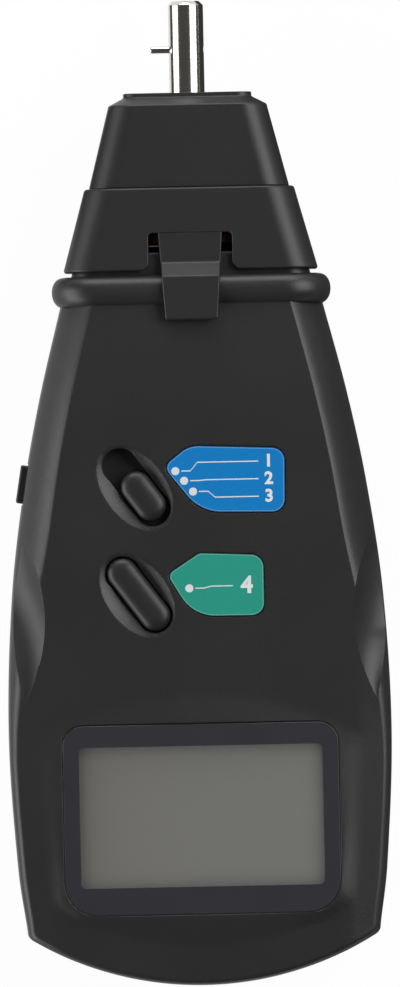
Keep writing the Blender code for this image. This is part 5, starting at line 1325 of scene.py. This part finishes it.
def adapter_cap():
    half_width, half_depth = skirt_size(CAP_LOW_Y)
    top = CAP_STATIONS[-1][0]
    end = top - CAP_TOP_WALL
    shoulder_y, shoulder_wide, shoulder_deep, _ = CAP_STATIONS[0]
    run = shoulder_y - CAP_LOW_Y
    narrow, thin = (half_width - 0.5 - shoulder_wide) / run, (half_depth - 0.5 - shoulder_deep) / run
    hollow = []
    for y in (CAP_LOW_Y - PAST, end):
        wide = half_width - CAP_WALL - narrow * (y - CAP_LOW_Y)
        deep = half_depth - CAP_WALL - thin * (y - CAP_LOW_Y)
        hollow.append(cross_section(y, wide, deep, 2.1))
    bosses = [barrel("cap_boss", CAP_BOSS_RADIUS, 0, CAP_LOW_Y + 2.0, end + ROOT)]
    pilots = []
    for side in (-1, 1):
        x = side * ADAPTER_SCREW_X
        bosses.append(barrel(f"screw_boss_{side}", CAP_SCREW_BOSS_RADIUS, x, CAP_LOW_Y, end + ROOT, 24))
        pilots.append(barrel(f"pilot_{side}", ADAPTER_HOLE_RADIUS, x, SKIRT_TOP[0], CAP_HOLE_END_Y, 24))
    flare = [(BUSH_BORE, top - 1.2 - PAST)]
    flare += [(BUSH_BORE + out, top - back) for out, back in round_edge(0.4, 4)]
    flare.append((BUSH_BORE + 0.45, top + PAST))
    mouth = turned("mouth", flare, 64)
    bore = barrel("bore", CAP_BORE, 0, CAP_LOW_Y + 2.0 - PAST, top - 1.2)
    return shaped(
        skin("cap", cap_outside()),
        ("DIFFERENCE", [skin("cap_hollow", hollow)]),
        ("UNION", bosses),
        ("DIFFERENCE", [bore, mouth, *pilots]),
    )


cap = dress(adapter_cap(), adapter_finish)
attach(cap, "adapter")
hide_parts("adapter_cap")
coat(metal("bush_bronze", (0.46, 0.29, 0.14), 0.38, 0.25, 0.01), "front_bush", "rear_bush")
coat(plated_steel, "adapter_screw_1", "adapter_screw_2")

# Spindle: a nickel plated steel rod with a hollow end that takes the contact tips, and a cross pin
# that drives them. Inside it carries a thrust ring and a brass disc with a bright mark for the laser.
SPINDLE_RADIUS = 3.52
SPINDLE_SOCKET = (1.9, 3.5)
SPINDLE_Y = (49.6, 98.35)
PIN = (0.7, 88.7, 3.22, -7.2)
DISC = (10.0, 49.9, 51.7)


def plated(name, colour, roughness, bare=1.0):
    """Bright plating over turned metal, with very fine rings across the piece."""
    finish = Finish(name)
    y = finish.axes()[1]
    rings = (y * 9.0).wave()
    wear = finish.noise(2.5, 3.0)
    finish.set(Base_Color=finish.mix(wear, [part * 0.9 for part in colour], colour), Metallic=bare)
    finish.set(Roughness=wear * 0.06 + roughness)
    return finish.set(Normal=finish.bump(rings, 0.0004)).material


def spindle_rod():
    radius, (low, end) = SPINDLE_RADIUS, SPINDLE_Y
    socket, depth = SPINDLE_SOCKET
    profile = [(socket * 0.4, end - depth - 0.5), (socket, end - depth), (socket, end - 0.25)]
    profile += [(socket + 0.2, end), (radius - 0.8, end), (radius - 0.08, end - 0.72), (radius, end - 0.85)]
    profile += [(radius, low + 0.4), (radius - 0.3, low)]
    rod = turned("rod", profile)
    hole = [[(x, PIN[1] + y, AXIS_Z + z) for y, z in circle((0, 0), PIN[0] + 0.06, 32)] for x in (-9, 9)]
    return shaped(rod, ("DIFFERENCE", [skin("pin_hole", hole)]))


def cross_pin():
    radius, y, start, end = PIN
    way = -1 if end < start else 1
    edge = round_edge(0.28)
    stations = [(start + way * back, radius - inset) for inset, back in reversed(edge)]
    stations += [(end - way * back, radius - inset) for inset, back in edge]
    rings = [[(x, y + py, AXIS_Z + pz) for py, pz in circle((0, 0), size, 48)] for x, size in stations]
    return skin("cross_pin", rings)


def reflector():
    radius, low, top = DISC
    profile = [(radius - 0.15, low), (radius, low + 0.15), (radius, top - 0.15), (radius - 0.15, top)]
    bore = barrel("disc_bore", BUSH_BORE, 0, low - PAST, top + PAST, 64)
    return shaped(turned("disc", profile), ("DIFFERENCE", [bore]))


spindle_finish = plated("spindle_nickel", (0.76, 0.72, 0.67), 0.11)
brass_finish = plated("disc_brass", (0.80, 0.56, 0.22), 0.42, 0.5)
turning = (
    (spindle_rod(), "spindle", "nickel", spindle_finish),
    (cross_pin(), "drive_pin", "nickel", spindle_finish),
    (reflector(), "reflector_disc", "brass", brass_finish),
)
for item, node, slot, finish in turning:
    dress(item, finish)
    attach(item, "spindle")
    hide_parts(node)
coat(plated_steel, "spindle_collar")
coat(metal("mark_foil", (0.80, 0.80, 0.79), 0.15, 0.8), "reflective_mark")

# Lights, camera and floor: a soft light low behind the spindle end, one on each side and none
# overhead, as in the photograph, where the level face mirrors a dark ceiling.
IMAGE = (400, 987)
MM_PER_PIXEL = 0.2
AXIS_PIXEL = (195.3, 493.0)
AXIS_TURN = degrees(atan2(0.0206, 1))
CAMERA_DISTANCE = 3000.0


def lamp(name, at, size, power, aim=(0.0, 10.0, 15.0)):
    light = bpy.data.lights.new(name, "AREA")
    light.shape = "RECTANGLE"
    light.size, light.size_y = size[0] * MM, size[1] * MM
    light.energy = power
    item = bpy.data.objects.new(name, light)
    item.location = Vector(at) * MM
    item.rotation_mode = "QUATERNION"
    item.rotation_quaternion = (Vector(at) - Vector(aim)).to_track_quat("Z", "Y")
    item.visible_camera = False
    bpy.context.scene.collection.objects.link(item)


lamp("end_light", (0, 940, 355), (1000, 600), 6.2)
lamp("left_light", (-920, -280, 255), (1300, 900), 12.0)
lamp("right_light", (680, 260, 640), (800, 690), 6.2)

scene = bpy.context.scene
world = bpy.data.worlds.new("studio")
scene.world = world
world.use_nodes = True
sky = world.node_tree
sky.nodes["Background"].inputs["Color"].default_value = (0.068, 0.068, 0.068, 1.0)
backdrop = sky.nodes.new("ShaderNodeBackground")
backdrop.inputs["Color"].default_value = (1.0, 1.0, 1.0, 1.0)
ray = sky.nodes.new("ShaderNodeLightPath")
choice = sky.nodes.new("ShaderNodeMixShader")
sky.links.new(ray.outputs["Is Camera Ray"], choice.inputs["Fac"])
sky.links.new(sky.nodes["Background"].outputs[0], choice.inputs[1])
sky.links.new(backdrop.outputs[0], choice.inputs[2])
sky.links.new(choice.outputs[0], sky.nodes["World Output"].inputs["Surface"])


def sheet(name, low, high, z, finish):
    bm = bmesh.new()
    corners = (low, (high[0], low[1]), high, (low[0], high[1]))
    bm.faces.new([bm.verts.new((x, y, z)) for x, y in corners])
    item = to_object(name, bm)
    item.data.materials.append(finish.material)
    return item


paper = Finish("white_paper")
paper.set(Roughness=0.9, Base_Color=(0.8, 0.8, 0.8))
seen = paper.node("ShaderNodeLightPath").output.node
shown = Socket(paper, seen.outputs["Is Camera Ray"])
for kind in ("Is Glossy Ray", "Is Transmission Ray"):
    shown = shown.math("MAXIMUM", shown, Socket(paper, seen.outputs[kind]))
glow = paper.node("ShaderNodeEmission", {}, {"Color": (1.0, 1.0, 1.0), "Strength": 1.0})
cover = paper.node("ShaderNodeBsdfDiffuse", {}, {"Color": (1.0, 1.0, 1.0)})
soft = paper.node("ShaderNodeMixShader", {}, {0: 0.97, 1: cover, 2: glow})
both = paper.node("ShaderNodeMixShader", {}, {0: shown, 1: Socket(paper, paper.shader.outputs[0]), 2: soft})
paper.tree.links.new(both.output, paper.tree.nodes["Material Output"].inputs["Surface"])
sheet("floor", (-4000, -4000), (4000, 4000), 0, paper)

# Painted reflections: sheets that glow grey, seen only in reflections, cover the paper beside the spindle and
# the case, so that metal and plastic mirror a darker floor there.
CARD_Z = 0.2
PAINTED_REFLECTION_CARDS = (
    ("tip_right_card", (3, 60), (600, 130), 0.045),
    ("tip_left_card", (-170, 60), (-28, 130), 0.06),
    ("right_card", (28, -130), (600, 60), 0.08),
    ("left_card", (-600, -130), (-28, 60), 0.55),
)
for name, low, high, level in PAINTED_REFLECTION_CARDS:
    grey = Finish(name)
    grey.set(Base_Color=(0.0, 0.0, 0.0), Roughness=1.0, Specular_IOR_Level=0.0)
    grey.set(Emission_Color=(level, level, level), Emission_Strength=1.0)
    card = sheet(name, low, high, CARD_Z, grey)
    card.visible_camera = card.visible_diffuse = card.visible_shadow = card.visible_transmission = False

camera = bpy.data.objects.new("camera", bpy.data.cameras.new("camera"))
scene.collection.objects.link(camera)
camera.data.lens = camera.data.sensor_width * CAMERA_DISTANCE / (IMAGE[1] * MM_PER_PIXEL)
camera.data.clip_end = 20.0
turn = Matrix.Rotation(radians(-AXIS_TURN), 3, "Z")
offset = Vector((IMAGE[0] / 2 - AXIS_PIXEL[0], AXIS_PIXEL[1] - IMAGE[1] / 2, 0)) * MM_PER_PIXEL
camera.location = (turn @ offset + Vector((0, 0, AXIS_Z + CAMERA_DISTANCE))) * MM
camera.rotation_euler = turn.to_euler()
scene.camera = camera
scene.view_settings.view_transform = "Standard"
